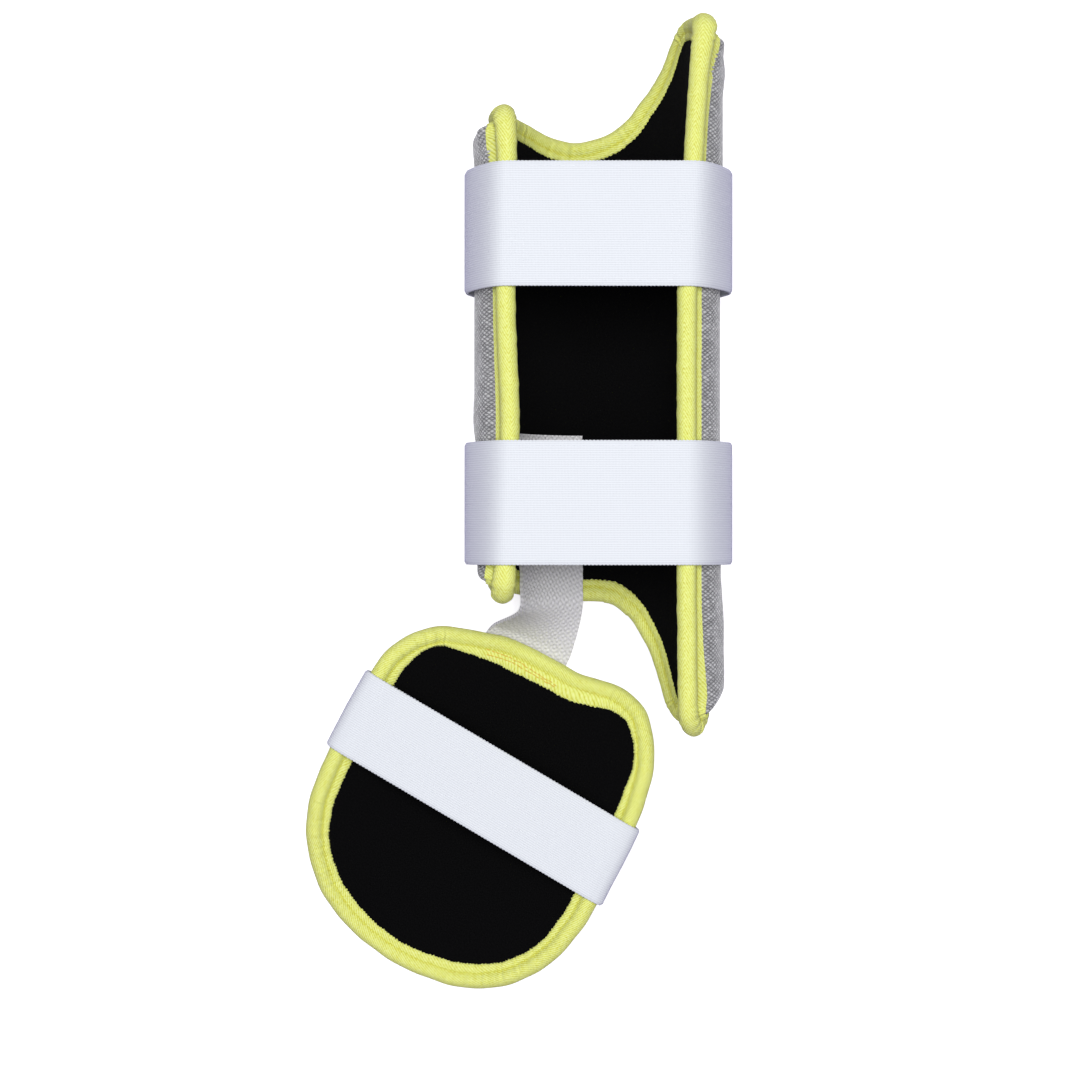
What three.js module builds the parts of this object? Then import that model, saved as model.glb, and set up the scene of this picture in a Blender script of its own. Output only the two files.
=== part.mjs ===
// Batters foot guard: a padded shin shell lying on its front, open side up, and the foot pad linked to it.
// Millimetres. +Y runs up the leg, +Z is up from the floor.
import * as THREE from 'three';

// Padded walls. Heights are measured from the seam between cover and lining, outwards positive.
const SEAM_GAP = 0.3;
const RIM_HEIGHT = 2.85;
const RIM_POINT = 1.7;
const DOME_HEIGHT = 4.4;
const COVER_HEIGHT = 11;
const DOME_START = 11.6;
const DOME_WIDTH = 15;
// Distances of the padding's rings from the bound edge.
const RIM_INSETS = [2.1, 5.1, DOME_START];

// Shin shell: an arc across the front and a leaning flat at each side.
const SHIN_RADIUS = 50;
const SHIN_HALF_GIRTH = 113;
const SHIN_CORNER = 15;
const SHIN_MIDDLE_X = 29;
const SHIN_SETTLE = 1.5;
const SHIN_AXIS_Z = SHIN_RADIUS + COVER_HEIGHT - SHIN_SETTLE;

// Foot pad: a shallow dish about its own length, turned to the shin's side.
const FOOT_RADIUS = 160;
const FOOT_MIDDLE_X = -34.9;
const FOOT_MIDDLE_Y = -135.8;
const FOOT_TURN = THREE.MathUtils.degToRad(30.5);
const FOOT_SETTLE = 1;
const FOOT_AXIS_Z = FOOT_RADIUS + COVER_HEIGHT - FOOT_SETTLE;
const FOOT_STATIONS = 52;
const FOOT_RINGS = [0.93, 0.8, 0.45];

const STRAP_WIDTH = 60;
const STRAP_THICKNESS = 1.8;
const UPPER_STRAP_Y = 152.3;
const LOWER_STRAP_Y = 18;
const FOOT_STRAP_WIDTH = 43;
const FOOT_STRAP_Y = 11;

const WEBBING_WIDTH = 43;
const WEBBING_THICKNESS = 1.8;
const WEBBING_RIGHT_EDGE = -7.5;
const WEBBING_COLUMNS = 6;
const WEBBING_FOOT_U = -15.5;

// Bound outline of the shin shell laid flat: girth from the front line, top and bottom of the edge there.
const SHIN_SECTIONS = [
  { girth: -98, top: 212.6, bottom: -31.2 },
  { girth: -91, top: 212.8, bottom: -28.6 },
  { girth: -83, top: 213.2, bottom: -25.6 },
  { girth: -73, top: 214, bottom: -24.2 },
  { girth: -62, top: 214.8, bottom: -24.8 },
  { girth: -52, top: 214.9, bottom: -26.8 },
  { girth: -42, top: 213.6, bottom: -29 },
  { girth: -32, top: 210.8, bottom: -30.6 },
  { girth: -21, top: 207.5, bottom: -31.5 },
  { girth: -9, top: 206.8, bottom: -32 },
  { girth: 0, top: 209, bottom: -32 },
  { girth: 9, top: 212.5, bottom: -33.5 },
  { girth: 17, top: 218.5, bottom: -39.5 },
  { girth: 24, top: 226, bottom: -48 },
  { girth: 31, top: 233, bottom: -60 },
  { girth: 38, top: 241.5, bottom: -76 },
  { girth: 45, top: 251.5, bottom: -88.5 },
  { girth: 52, top: 259.5, bottom: -92.5 },
  { girth: 61, top: 263, bottom: -92.5 },
  { girth: 72, top: 262, bottom: -91.5 },
  { girth: 82, top: 259.3, bottom: -91 },
  { girth: 90, top: 257.8, bottom: -92.5 },
  { girth: 98, top: 257, bottom: -96 },
];

// Inward lean of the shin's two side flats, in degrees, along the leg.
const SHIN_LEAN = [
  { along: -100, left: 8, right: 20 },
  { along: -15, left: 10.5, right: 25 },
  { along: 55, left: 16.5, right: 25 },
  { along: 110, left: 10.3, right: 24 },
  { along: 185, left: 12, right: 11 },
  { along: 265, left: 11, right: -1.5 },
];

// Shares of the shin wall's length at which its inner rows lie.
const SHIN_ROWS = [0, 0.03, 0.075, 0.25, 0.5, 0.75, 0.925, 0.97, 1];

// Reach of the foot pad's bound outline from its middle, every 15 degrees from the strap's right end.
const FOOT_REACH = [
  83.2, 85, 91, 98.3, 101.1, 90.6, 84.7, 86.2, 89.2, 94.8, 93, 85,
  81.2, 82.3, 86.1, 89, 91, 92.2, 93.2, 94.8, 96.5, 96, 92.2, 87.3,
];

// Folded tape: its section from the inner flange round the fold to the outer flange and back.
const BINDING_SECTION = [
  { inset: 10.6, height: -4.5 },
  { inset: 4.7, height: -4.7 },
  { inset: 1.4, height: -3.3 },
  { inset: 0, height: 0 },
  { inset: 1.4, height: 3.3 },
  { inset: 4.7, height: 4.7 },
  { inset: 10.6, height: 5.9 },
  { inset: 10.6, height: 4.9 },
  { inset: 4.5, height: 3.5 },
  { inset: 1.4, height: 2.2 },
  { inset: 1.4, height: -2.2 },
  { inset: 4.5, height: -3.5 },
  { inset: 10.6, height: -3.5 },
];

// Inner face of a shin strap where it lies on the cover, from its end, as inset from the bound edge.
const SHIN_STRAP_SEAT = [
  { inset: 62, height: 11.5 },
  { inset: 54, height: 12 },
  { inset: 44, height: 13.6 },
];
// Then its free bulge, from the cover's widest place up and in to the bound edge, as shares of that way.
const STRAP_WIDEST = 14.7;
const STRAP_LIFT = 0.4;
const STRAP_LIFT_PER_DEGREE = 0.036;
const STRAP_BULGE = [
  { out: 1, down: 1 },
  { out: 0.967, down: 0.786 },
  { out: 0.88, down: 0.634 },
  { out: 0.77, down: 0.49 },
  { out: 0.66, down: 0.365 },
  { out: 0.55, down: 0.255 },
  { out: 0.44, down: 0.163 },
  { out: 0.33, down: 0.09 },
  { out: 0.22, down: 0.038 },
  { out: 0.11, down: 0.008 },
  { out: 0, down: 0 },
];

// Inner face of the foot strap, from its end under the pad to the bound edge.
const FOOT_STRAP_FOLDS = [
  { inset: 29, height: 11.7 },
  { inset: 20, height: 11 },
  { inset: 15.5, height: 9.6 },
  { inset: 13, height: 8 },
  { inset: 10.6, height: 6.7 },
  { inset: 5.5, height: 5.6 },
  { inset: 2.1, height: 5 },
  { inset: 0.1, height: 3 },
  { inset: -0.9, height: 0 },
  { inset: 0.1, height: -3 },
  { inset: 2.1, height: -5 },
];

// Webbing inside the shin: place along the leg, and lift of its under face from the lining.
const WEBBING_RUN = [
  { along: 54, lift: 0.7 },
  { along: 28, lift: 0.7 },
  { along: 4, lift: 0.7 },
  { along: -8, lift: 0.8 },
  { along: -15, lift: 2.3 },
  { along: -24, lift: 2.4 },
  { along: -33, lift: 2.6 },
];
const WEBBING_FREE_STEPS = 7;
const WEBBING_LEAD = 1.5;
const WEBBING_SEAT = 10;

const FINISHES = {
  cover: { color: 0x9c9ca0, roughness: 0.55, metalness: 0.1 },
  lining: { color: 0x0e0e10, roughness: 0.95, metalness: 0 },
  binding: { color: 0xdde35a, roughness: 0.75, metalness: 0 },
  elastic: { color: 0xeaedf6, roughness: 0.7, metalness: 0 },
  webbing: { color: 0xc7c5cb, roughness: 0.75, metalness: 0 },
};

const leanAlong = new THREE.CubicInterpolant(
  SHIN_LEAN.map((row) => row.along),
  SHIN_LEAN.flatMap((row) => [row.left, row.right]),
  2,
  new Array(2),
);

// Place on the shin shell of a point of its flat pattern, raised off the seam.
function shinPoint(girth, along, height) {
  const [left, right] = leanAlong.evaluate(along);
  const side = girth < 0 ? -1 : 1;
  const lean = THREE.MathUtils.degToRad(girth < 0 ? left : right);
  const turn = Math.min(Math.abs(girth) / SHIN_RADIUS, Math.PI / 2 + lean);
  const run = Math.abs(girth) - turn * SHIN_RADIUS;
  const across = (SHIN_RADIUS + height) * Math.sin(turn) + run * Math.cos(turn);
  const up = SHIN_AXIS_Z - (SHIN_RADIUS + height) * Math.cos(turn) + run * Math.sin(turn);
  return new THREE.Vector3(SHIN_MIDDLE_X + side * across, along, Math.max(up, 0));
}

// Place on the foot pad of a point of its flat pattern, raised off the seam.
function footPoint(girth, along, height) {
  const turn = girth / FOOT_RADIUS;
  const across = (FOOT_RADIUS + height) * Math.sin(turn);
  const up = FOOT_AXIS_Z - (FOOT_RADIUS + height) * Math.cos(turn);
  return new THREE.Vector3(
    FOOT_MIDDLE_X + across * Math.cos(FOOT_TURN) + along * Math.sin(FOOT_TURN),
    FOOT_MIDDLE_Y - across * Math.sin(FOOT_TURN) + along * Math.cos(FOOT_TURN),
    Math.max(up, 0),
  );
}

// Bound outline of the shin's pattern, anticlockwise from the lower left corner.
function shinOutline() {
  const first = SHIN_SECTIONS[0];
  const last = SHIN_SECTIONS[SHIN_SECTIONS.length - 1];
  const corner = (row, edge, side, up, degrees) => {
    const turn = THREE.MathUtils.degToRad(degrees);
    return new THREE.Vector2(
      row.girth + side * SHIN_CORNER * Math.cos(turn),
      row[edge] - up * SHIN_CORNER * (1 - Math.sin(turn)),
    );
  };
  const row = (edge, up) => [
    ...[0, 30, 60].map((degrees) => corner(first, edge, -1, up, degrees)),
    ...SHIN_SECTIONS.map((section) => new THREE.Vector2(section.girth, section[edge])),
    ...[60, 30, 0].map((degrees) => corner(last, edge, 1, up, degrees)),
  ];
  const bottom = row('bottom', -1);
  const top = row('top', 1);
  const side = (from, to) => SHIN_ROWS.slice(1, -1).map((share) => from.clone().lerp(to, share));
  return {
    columns: bottom.length - 1,
    points: [
      ...bottom,
      ...side(bottom[bottom.length - 1], top[top.length - 1]),
      ...top.reverse(),
      ...side(top[top.length - 1], bottom[0]),
    ],
  };
}

// Bound outline of the foot pad's pattern, anticlockwise from the strap's right end.
function footOutline() {
  const corners = FOOT_REACH.map((reach, k) => {
    const turn = (k * 2 * Math.PI) / FOOT_REACH.length;
    return new THREE.Vector3(reach * Math.cos(turn), reach * Math.sin(turn), 0);
  });
  const curve = new THREE.CatmullRomCurve3(corners, true, 'centripetal');
  const points = curve.getSpacedPoints(FOOT_STATIONS).slice(0, FOOT_STATIONS);
  return points.map((point) => new THREE.Vector2(point.x, point.y));
}

// Unit direction into the pattern at each point of a closed outline.
function inwards(outline) {
  return outline.map((point, k) => {
    const before = outline[(k + outline.length - 1) % outline.length];
    const after = outline[(k + 1) % outline.length];
    const along = point.clone().sub(before).normalize();
    along.add(after.clone().sub(point).normalize()).normalize();
    return new THREE.Vector2(-along.y, along.x);
  });
}

function insetRing(outline, normals, inset) {
  return outline.map((point, k) => point.clone().addScaledVector(normals[k], inset));
}

// Distance of a pattern point from the bound outline.
function edgeDistance(outline, point) {
  const foot = new THREE.Vector3();
  const at = new THREE.Vector3(point.x, point.y, 0);
  const edge = new THREE.Line3();
  return outline.reduce((least, start, k) => {
    const end = outline[(k + 1) % outline.length];
    edge.start.set(start.x, start.y, 0);
    edge.end.set(end.x, end.y, 0);
    return Math.min(least, edge.closestPointToPoint(at, true, foot).distanceTo(at));
  }, Infinity);
}

// Net of a pad's pattern: rings near the edge, then the rows and columns or the rings inside them.
function netOf(outline, fill) {
  const normals = inwards(outline);
  const points = [];
  const faces = [];
  const count = outline.length;
  RIM_INSETS.forEach((inset) => {
    insetRing(outline, normals, inset).forEach((point) => points.push({ at: point, inset }));
  });
  const band = (low, high) => {
    for (let k = 0; k < count; k += 1) {
      const next = (k + 1) % count;
      faces.push([low + k, low + next, high + next], [low + k, high + next, high + k]);
    }
  };
  for (let ring = 1; ring < RIM_INSETS.length; ring += 1) {
    band((ring - 1) * count, ring * count);
  }
  const add = (at) => points.push({ at, inset: edgeDistance(outline, at) }) - 1;
  fill({ points, faces, band, add, count, base: (RIM_INSETS.length - 1) * count });
  return { points, faces, count };
}

function shinFill(columns) {
  const rows = SHIN_ROWS.length - 1;
  return ({ points, faces, add, count, base }) => {
    const nodeAt = (column, row) => {
      if (row === 0) return base + column;
      if (row === rows) return base + columns + rows + (columns - column);
      if (column === columns) return base + columns + row;
      if (column === 0) return base + ((count - row) % count);
      const low = points[base + column].at;
      const high = points[base + columns + rows + (columns - column)].at;
      return add(low.clone().lerp(high, SHIN_ROWS[row]));
    };
    const grid = [];
    for (let column = 0; column <= columns; column += 1) {
      grid.push(SHIN_ROWS.map((share, row) => nodeAt(column, row)));
    }
    for (let column = 0; column < columns; column += 1) {
      for (let row = 0; row < rows; row += 1) {
        const a = grid[column][row];
        const b = grid[column + 1][row];
        const c = grid[column + 1][row + 1];
        const d = grid[column][row + 1];
        faces.push([a, b, c], [a, c, d]);
      }
    }
  };
}

function footFill({ points, faces, band, add, count, base }) {
  let low = base;
  FOOT_RINGS.forEach((share) => {
    const ring = points.slice(base, base + count).map((point) => add(point.at.clone().multiplyScalar(share)));
    band(low, ring[0]);
    low = ring[0];
  });
  const middle = add(new THREE.Vector2(0, 0));
  for (let k = 0; k < count; k += 1) {
    faces.push([low + k, low + ((k + 1) % count), middle]);
  }
}

// Closed body facing outwards.
function bodyOf(corners, faces) {
  const volume = faces.reduce((sum, [a, b, c]) => {
    return sum + corners[a].dot(corners[b].clone().cross(corners[c]));
  }, 0);
  const facing = volume > 0 ? faces : faces.map(([a, b, c]) => [a, c, b]);
  const geometry = new THREE.BufferGeometry();
  geometry.setAttribute('position', new THREE.Float32BufferAttribute(corners.flatMap((p) => p.toArray()), 3));
  geometry.setIndex(facing.flat());
  geometry.computeVertexNormals();
  return geometry;
}

// Wall over a net, between two heights that follow the distance from the edge.
function wallOf(net, place, outer, inner) {
  const total = net.points.length;
  const corners = [
    ...net.points.map(({ at, inset }) => place(at.x, at.y, outer(inset))),
    ...net.points.map(({ at, inset }) => place(at.x, at.y, inner(inset))),
  ];
  const faces = [];
  net.faces.forEach(([a, b, c]) => faces.push([a, c, b], [a + total, b + total, c + total]));
  for (let k = 0; k < net.count; k += 1) {
    const next = (k + 1) % net.count;
    faces.push([next + total, k + total, k], [next + total, k, next]);
  }
  return bodyOf(corners, faces);
}

// Ring of equal sections, closed on itself.
function ringOf(sections) {
  const corners = sections.flat();
  const size = sections[0].length;
  const faces = [];
  sections.forEach((section, k) => {
    const low = k * size;
    const high = ((k + 1) % sections.length) * size;
    section.forEach((point, m) => {
      const next = (m + 1) % size;
      faces.push([low + m, low + next, high + next], [low + m, high + next, high + m]);
    });
  });
  return bodyOf(corners, faces);
}

// Band between two faces given as rows of points across it.
function bandOf(under, upper) {
  const across = under[0].length;
  const sections = under.map((row, k) => [...row, ...upper[k].slice().reverse()]);
  const corners = sections.flat();
  const size = 2 * across;
  const faces = [];
  for (let k = 1; k < sections.length; k += 1) {
    for (let m = 0; m < size; m += 1) {
      const next = (m + 1) % size;
      const low = (k - 1) * size;
      const high = k * size;
      faces.push([low + m, low + next, high + next], [low + m, high + next, high + m]);
    }
  }
  const end = (sections.length - 1) * size;
  for (let m = 1; m < across; m += 1) {
    const back = size - m;
    faces.push([m - 1, back - 1, m], [m - 1, back, back - 1]);
    faces.push([end + m - 1, end + m, end + back - 1], [end + m - 1, end + back - 1, end + back]);
  }
  return bodyOf(corners, faces);
}

// Faces of a band whose under face is given, thickened along its own normal.
function thickened(rows, thickness) {
  return rows.map((row, k) => {
    const before = rows[Math.max(k - 1, 0)];
    const after = rows[Math.min(k + 1, rows.length - 1)];
    return row.map((point, m) => {
      const along = after[m].clone().sub(before[m]);
      const across = row[Math.min(m + 1, row.length - 1)].clone().sub(row[Math.max(m - 1, 0)]);
      return point.clone().addScaledVector(along.cross(across).normalize(), thickness);
    });
  });
}

const coverHeight = (inset) => {
  if (inset < RIM_INSETS[1]) return RIM_POINT;
  if (inset < DOME_START) return RIM_HEIGHT;
  const share = THREE.MathUtils.clamp((inset - DOME_START) / DOME_WIDTH, 0, 1);
  return DOME_HEIGHT + (COVER_HEIGHT - DOME_HEIGHT) * Math.sqrt(1 - (1 - share) ** 2);
};
const liningHeight = (inset) => (inset < RIM_INSETS[1] ? -RIM_POINT : -RIM_HEIGHT);
const coverSeam = () => SEAM_GAP / 2;
const liningSeam = () => -SEAM_GAP / 2;

function bindingOf(outline, place) {
  const normals = inwards(outline);
  return ringOf(outline.map((point, k) => BINDING_SECTION.map(({ inset, height }) => {
    const at = point.clone().addScaledVector(normals[k], inset);
    return place(at.x, at.y, height);
  })));
}

function shinStrap(middle) {
  const columns = [-0.5, 0, 0.5].map((share) => middle + share * STRAP_WIDTH);
  const seatAt = (side) => ({ inset, height }) => columns.map((along) => {
    return shinPoint(side * (SHIN_HALF_GIRTH - inset), along, height);
  });
  const bulgeAt = (side) => ({ out, down }) => columns.map((along) => {
    const [left, right] = leanAlong.evaluate(along);
    const edge = shinPoint(side * SHIN_HALF_GIRTH, along, 0);
    edge.z += STRAP_LIFT + STRAP_LIFT_PER_DEGREE * (side < 0 ? left : right);
    const wide = shinPoint((side * SHIN_RADIUS * Math.PI) / 2, along, STRAP_WIDEST);
    return new THREE.Vector3(
      THREE.MathUtils.lerp(edge.x, wide.x, out),
      along,
      THREE.MathUtils.lerp(edge.z, wide.z, down),
    );
  });
  const half = (side) => [...SHIN_STRAP_SEAT.map(seatAt(side)), ...STRAP_BULGE.map(bulgeAt(side))];
  const rows = [...half(-1), ...half(1).reverse()];
  return bandOf(rows, thickened(rows, STRAP_THICKNESS));
}

// Girth at which the foot's outline crosses a level, on one side.
function footEdge(outline, along, side) {
  const crossings = outline.map((point, k) => {
    const next = outline[(k + 1) % outline.length];
    if ((point.y - along) * (next.y - along) > 0) return 0;
    return THREE.MathUtils.lerp(point.x, next.x, (along - point.y) / (next.y - point.y));
  });
  return side < 0 ? Math.min(...crossings) : Math.max(...crossings);
}

function footStrap(outline) {
  const columns = [-0.5, -0.25, 0, 0.25, 0.5].map((share) => FOOT_STRAP_Y + share * FOOT_STRAP_WIDTH);
  const rowAt = (side) => ({ inset, height }) => columns.map((along) => {
    return footPoint(footEdge(outline, along, side) - side * inset, along, height);
  });
  const rows = [...FOOT_STRAP_FOLDS.map(rowAt(-1)), ...FOOT_STRAP_FOLDS.map(rowAt(1)).reverse()];
  return bandOf(rows, thickened(rows, STRAP_THICKNESS));
}

// Level of the foot pad's upper edge at a girth.
function footTop(outline, girth) {
  const crossings = outline.map((point, k) => {
    const next = outline[(k + 1) % outline.length];
    if ((point.x - girth) * (next.x - girth) > 0) return 0;
    return THREE.MathUtils.lerp(point.y, next.y, (girth - point.x) / (next.x - point.x));
  });
  return Math.max(...crossings);
}

function linkWebbing(outline) {
  const shares = Array.from({ length: WEBBING_COLUMNS }, (_, k) => k / (WEBBING_COLUMNS - 1));
  const face = RIM_HEIGHT;
  const spread = SHIN_RADIUS / (SHIN_RADIUS - face);
  const girths = shares.map((share) => (WEBBING_RIGHT_EDGE - (1 - share) * WEBBING_WIDTH) * spread);
  const inside = WEBBING_RUN.map(({ along, lift }) => {
    return girths.map((girth) => shinPoint(girth, along, -face - lift));
  });
  const under = BINDING_SECTION[6].height + SEAM_GAP + WEBBING_THICKNESS;
  const seat = (inset) => shares.map((share) => {
    const girth = WEBBING_FOOT_U + (share - 0.5) * WEBBING_WIDTH;
    return footPoint(girth, footTop(outline, girth) - inset, under);
  });
  const leaving = inside[inside.length - 1];
  const landing = seat(-WEBBING_LEAD);
  const seated = seat(WEBBING_SEAT);
  const free = [];
  for (let step = 1; step < WEBBING_FREE_STEPS; step += 1) {
    free.push(leaving.map((start, m) => {
      const end = landing[m];
      const reach = start.distanceTo(end) / 3;
      const inward = seated[m].clone().sub(end).normalize();
      const curve = new THREE.CubicBezierCurve3(
        start,
        start.clone().add(new THREE.Vector3(0, -0.5 * reach, -0.15 * reach)),
        end.clone().addScaledVector(inward, -0.5 * reach),
        end,
      );
      return curve.getPoint(step / WEBBING_FREE_STEPS);
    }));
  }
  const rows = [...inside, ...free, landing, seat(WEBBING_SEAT / 2), seated];
  return bandOf(rows, thickened(rows, WEBBING_THICKNESS));
}

const shin = shinOutline();
const foot = footOutline();
const shinNet = netOf(shin.points, shinFill(shin.columns));
const footNet = netOf(foot, footFill);

const pieces = {
  shin_cover: { body: wallOf(shinNet, shinPoint, coverHeight, coverSeam), finish: FINISHES.cover },
  shin_lining: { body: wallOf(shinNet, shinPoint, liningSeam, liningHeight), finish: FINISHES.lining },
  shin_binding: { body: bindingOf(shin.points, shinPoint), finish: FINISHES.binding },
  upper_strap: { body: shinStrap(UPPER_STRAP_Y), finish: FINISHES.elastic },
  lower_strap: { body: shinStrap(LOWER_STRAP_Y), finish: FINISHES.elastic },
  link_webbing: { body: linkWebbing(foot), finish: FINISHES.webbing },
  foot_cover: { body: wallOf(footNet, footPoint, coverHeight, coverSeam), finish: FINISHES.cover },
  foot_lining: { body: wallOf(footNet, footPoint, liningSeam, liningHeight), finish: FINISHES.lining },
  foot_binding: { body: bindingOf(foot, footPoint), finish: FINISHES.binding },
  foot_strap: { body: footStrap(foot), finish: FINISHES.elastic },
};

const guard = new THREE.Group();
guard.name = 'batters_foot_guard';
Object.entries(pieces).forEach(([name, { body, finish }]) => {
  const mesh = new THREE.Mesh(body, new THREE.MeshStandardMaterial(finish));
  mesh.name = name;
  guard.add(mesh);
});

// The origin is the middle of the guard's outline on the floor.
const box = new THREE.Box3().setFromObject(guard);
const middle = box.getCenter(new THREE.Vector3());
guard.children.forEach((mesh) => mesh.geometry.translate(-middle.x, -middle.y, -box.min.z));

export default guard;
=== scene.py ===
"""Batters foot guard: padded covers, linings, edge tape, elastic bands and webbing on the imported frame."""

import math
from collections import namedtuple

import bpy
import numpy as np
from bpy.props import FloatProperty, FloatVectorProperty, PointerProperty
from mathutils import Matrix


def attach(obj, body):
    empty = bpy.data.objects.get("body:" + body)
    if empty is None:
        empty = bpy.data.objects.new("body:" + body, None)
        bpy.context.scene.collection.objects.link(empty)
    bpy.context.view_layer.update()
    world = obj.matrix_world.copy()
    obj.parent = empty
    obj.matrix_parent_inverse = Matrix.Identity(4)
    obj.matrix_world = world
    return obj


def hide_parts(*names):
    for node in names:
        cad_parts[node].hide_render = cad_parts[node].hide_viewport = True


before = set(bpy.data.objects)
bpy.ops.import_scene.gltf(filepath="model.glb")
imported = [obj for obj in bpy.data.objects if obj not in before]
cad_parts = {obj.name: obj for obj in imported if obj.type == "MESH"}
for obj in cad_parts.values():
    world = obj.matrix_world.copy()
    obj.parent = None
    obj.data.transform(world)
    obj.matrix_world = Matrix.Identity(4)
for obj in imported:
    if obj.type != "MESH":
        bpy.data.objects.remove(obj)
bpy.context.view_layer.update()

bl_info = {
    "name": "Batters foot guard",
    "version": (1, 0, 0),
    "blender": (4, 5, 0),
    "location": "View3D > Sidebar > Guard",
    "description": "Models the cloth, padding, edge tape, bands and webbing of a batters foot guard",
    "category": "Add Mesh",
}

MM = 0.001
SEED = 11

# The sizes down to the stage's are in millimetres, unless a comment says metres.
# The flat patterns' own origin lies here in the guard's frame.
PATTERN_X = 12.223
PATTERN_Y = -15.593

# Shin shell: an arc across the front and a leaning flat at each side.
SHIN_RADIUS = 50.0
SHIN_CORNER = 15.0
SHIN_CORNER_TURNS = (0, 30, 60)
SHIN_MIDDLE_X = 29.0
SHIN_AXIS_Z = 59.5
SHIN_HALF_GIRTH = 113.0
# Bound outline laid flat: girth from the front line, top and bottom of the edge there.
SHIN_SECTIONS = (
    (-98, 212.6, -31.2), (-91, 212.8, -28.6), (-83, 213.2, -25.6), (-73, 214, -24.2), (-62, 214.8, -24.8),
    (-52, 214.9, -26.8), (-42, 213.6, -29), (-32, 210.8, -30.6), (-21, 207.5, -31.5), (-9, 206.8, -32),
    (0, 209, -32), (9, 212.5, -33.5), (17, 218.5, -39.5), (24, 226, -48), (31, 233, -60),
    (38, 241.5, -76), (45, 251.5, -88.5), (52, 259.5, -92.5), (61, 263, -92.5), (72, 262, -91.5),
    (82, 259.3, -91), (90, 257.8, -92.5), (98, 257, -96),
)
# Points of the outline along each straight side, as shares of its length.
SIDE_SHARES = (0.03, 0.075, 0.25, 0.5, 0.75, 0.925, 0.97)
# Inward lean of the two side flats, in degrees: place along the leg, left, right.
SHIN_LEAN = (
    (-100, 8, 20), (-15, 10.5, 25), (55, 16.5, 25), (110, 10.3, 24), (185, 12, 11), (265, 11, -1.5),
)

# Foot pad: a shallow dish about its own length, turned to the shin's side.
FOOT_RADIUS = 160.0
FOOT_MIDDLE = (-34.9, -135.8)
FOOT_TURN = math.radians(30.5)
FOOT_AXIS_Z = 170.0
# Bound outline laid flat: degrees anticlockwise from the pad's right side, reach from its middle.
FOOT_REACH = (
    (0, 83.2), (15, 85), (30, 91), (45, 98.6), (52, 101), (59, 101.7), (65, 99.3), (70, 95.5), (75, 90.6),
    (80, 87), (87, 85), (95, 84.8), (105, 86.5), (120, 89.2), (135, 94.8), (150, 93), (165, 85),
    (180, 81.2), (195, 82.3), (210, 86.1), (225, 89), (240, 91), (255, 92.2), (270, 93.2),
    (285, 94.8), (300, 96.5), (315, 96), (330, 92.2), (345, 87.3),
)

# Fine steps of a curve for each row of its table, and rows by which a closed curve laps over its start.
CURVE_STEPS = 40
CURVE_LAP = 3
# Points of finely stepped outlines and lines: for distances, for flat sizes and for lengths.
SHIN_FINE, FOOT_FINE = 1400, 1440
SHIN_FLAT, FOOT_FLAT = 700, 500
EDGE_FINE, BAND_FINE = 900, 400
# Outline points that are measured against a net at a time.
DISTANCE_BATCH = 200

# Columns and rows of the nets that the pads' cloth is modelled on.
SHIN_COVER_NET, FOOT_COVER_NET = (84, 96), (64, 64)
SHIN_LINING_NET, FOOT_LINING_NET = (116, 130), (90, 90)
# Crowding of the shin nets' rows towards the shell's two ends.
ROWS_TO_ENDS = 0.06
# The pads' cloth starts this far inside the bound edge.
PAD_EDGE = 2.1
# Angles up to which the pieces are shaded smooth, in degrees.
PAD_SMOOTH, TAPE_SMOOTH, BAND_SMOOTH, STITCH_SMOOTH = 60, 75, 50, 180
# Outer face of the covers: distance from the bound edge, height over the seam with the lining.
COVER_PROFILE = (
    (2.1, 1.7), (5.1, 2.6), (8.2, 2.8), (9.6, 3.3), (10.8, 4.2), (12.2, 5.7),
    (14, 7.1), (17, 8.5), (21, 9.4), (27, 9.9), (40, 10.1), (120, 10.1),
)
COVER_SEAM = 0.15
# Inner face of the linings: distance from the bound edge, height.
LINING_PROFILE = ((2.1, -1.7), (5.1, -2.6), (9, -2.85), (120, -2.85))
LINING_FACE = -LINING_PROFILE[-1][1]
LINING_SEAM = -0.15
# The shin's pad is full up to the tape along the outer parts of its top and bottom ends: from this girth on,
# over a fade, and up to the corners, over another.
BLUNT_FROM, BLUNT_FADE = 48.0, 14.0
BLUNT_CORNER = 8.0
# It rises steeper there, from this distance on.
BLUNT_START = 9.0
BLUNT_STEEP = 2.5
# There the tape's outer flange is shorter by a share and rises more.
BLUNT_FLANGE = 0.35
BLUNT_RISE = 1.8
# The upper right end is only this blunt.
BLUNT_UPPER_RIGHT = 0.35
# The pad is thicker beside parts of both edges: place along the leg, share at the left, share at the right.
THICKER = (
    (-95, 0, 0.13), (-20, 0, 0.11), (30, 0, 0.06), (60, 0.2, 0.06), (115, 0.2, 0.06), (150, 0.13, 0.07),
    (175, 0.13, 0.2), (265, 0.13, 0.2),
)
# That starts at this girth, over a fade, and at the right it ends over a length under the top edge.
THICKER_FROM, THICKER_FADE = 66.0, 14.0
THICKER_TOP = 40.0
# The shin's tape and the pad under it stand fuller at three corners: upper left, upper right and lower left.
FULLER = (0.32, 0.5, 0.38)
FULLER_LENGTH = 15.0
# The pad rises by this share of that, and only so near to the edge.
FULLER_PAD = 0.82
FULLER_INSET, FULLER_FADE = 20.0, 8.0
# The covers swell as cloth under pressure: free from this distance on, and held fully a fade before it.
SWELL_FREE, SWELL_FADE = 16.0, 4.0
SWELL_FRAMES = 20
SWELL_SHRINK = -0.02
SWELL_STIFFNESS = 25
SWELL_BENDING = 1.5
# Deepest hollow that the swelling leaves, in metres.
SWELL_HOLLOW = 0.0002

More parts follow.
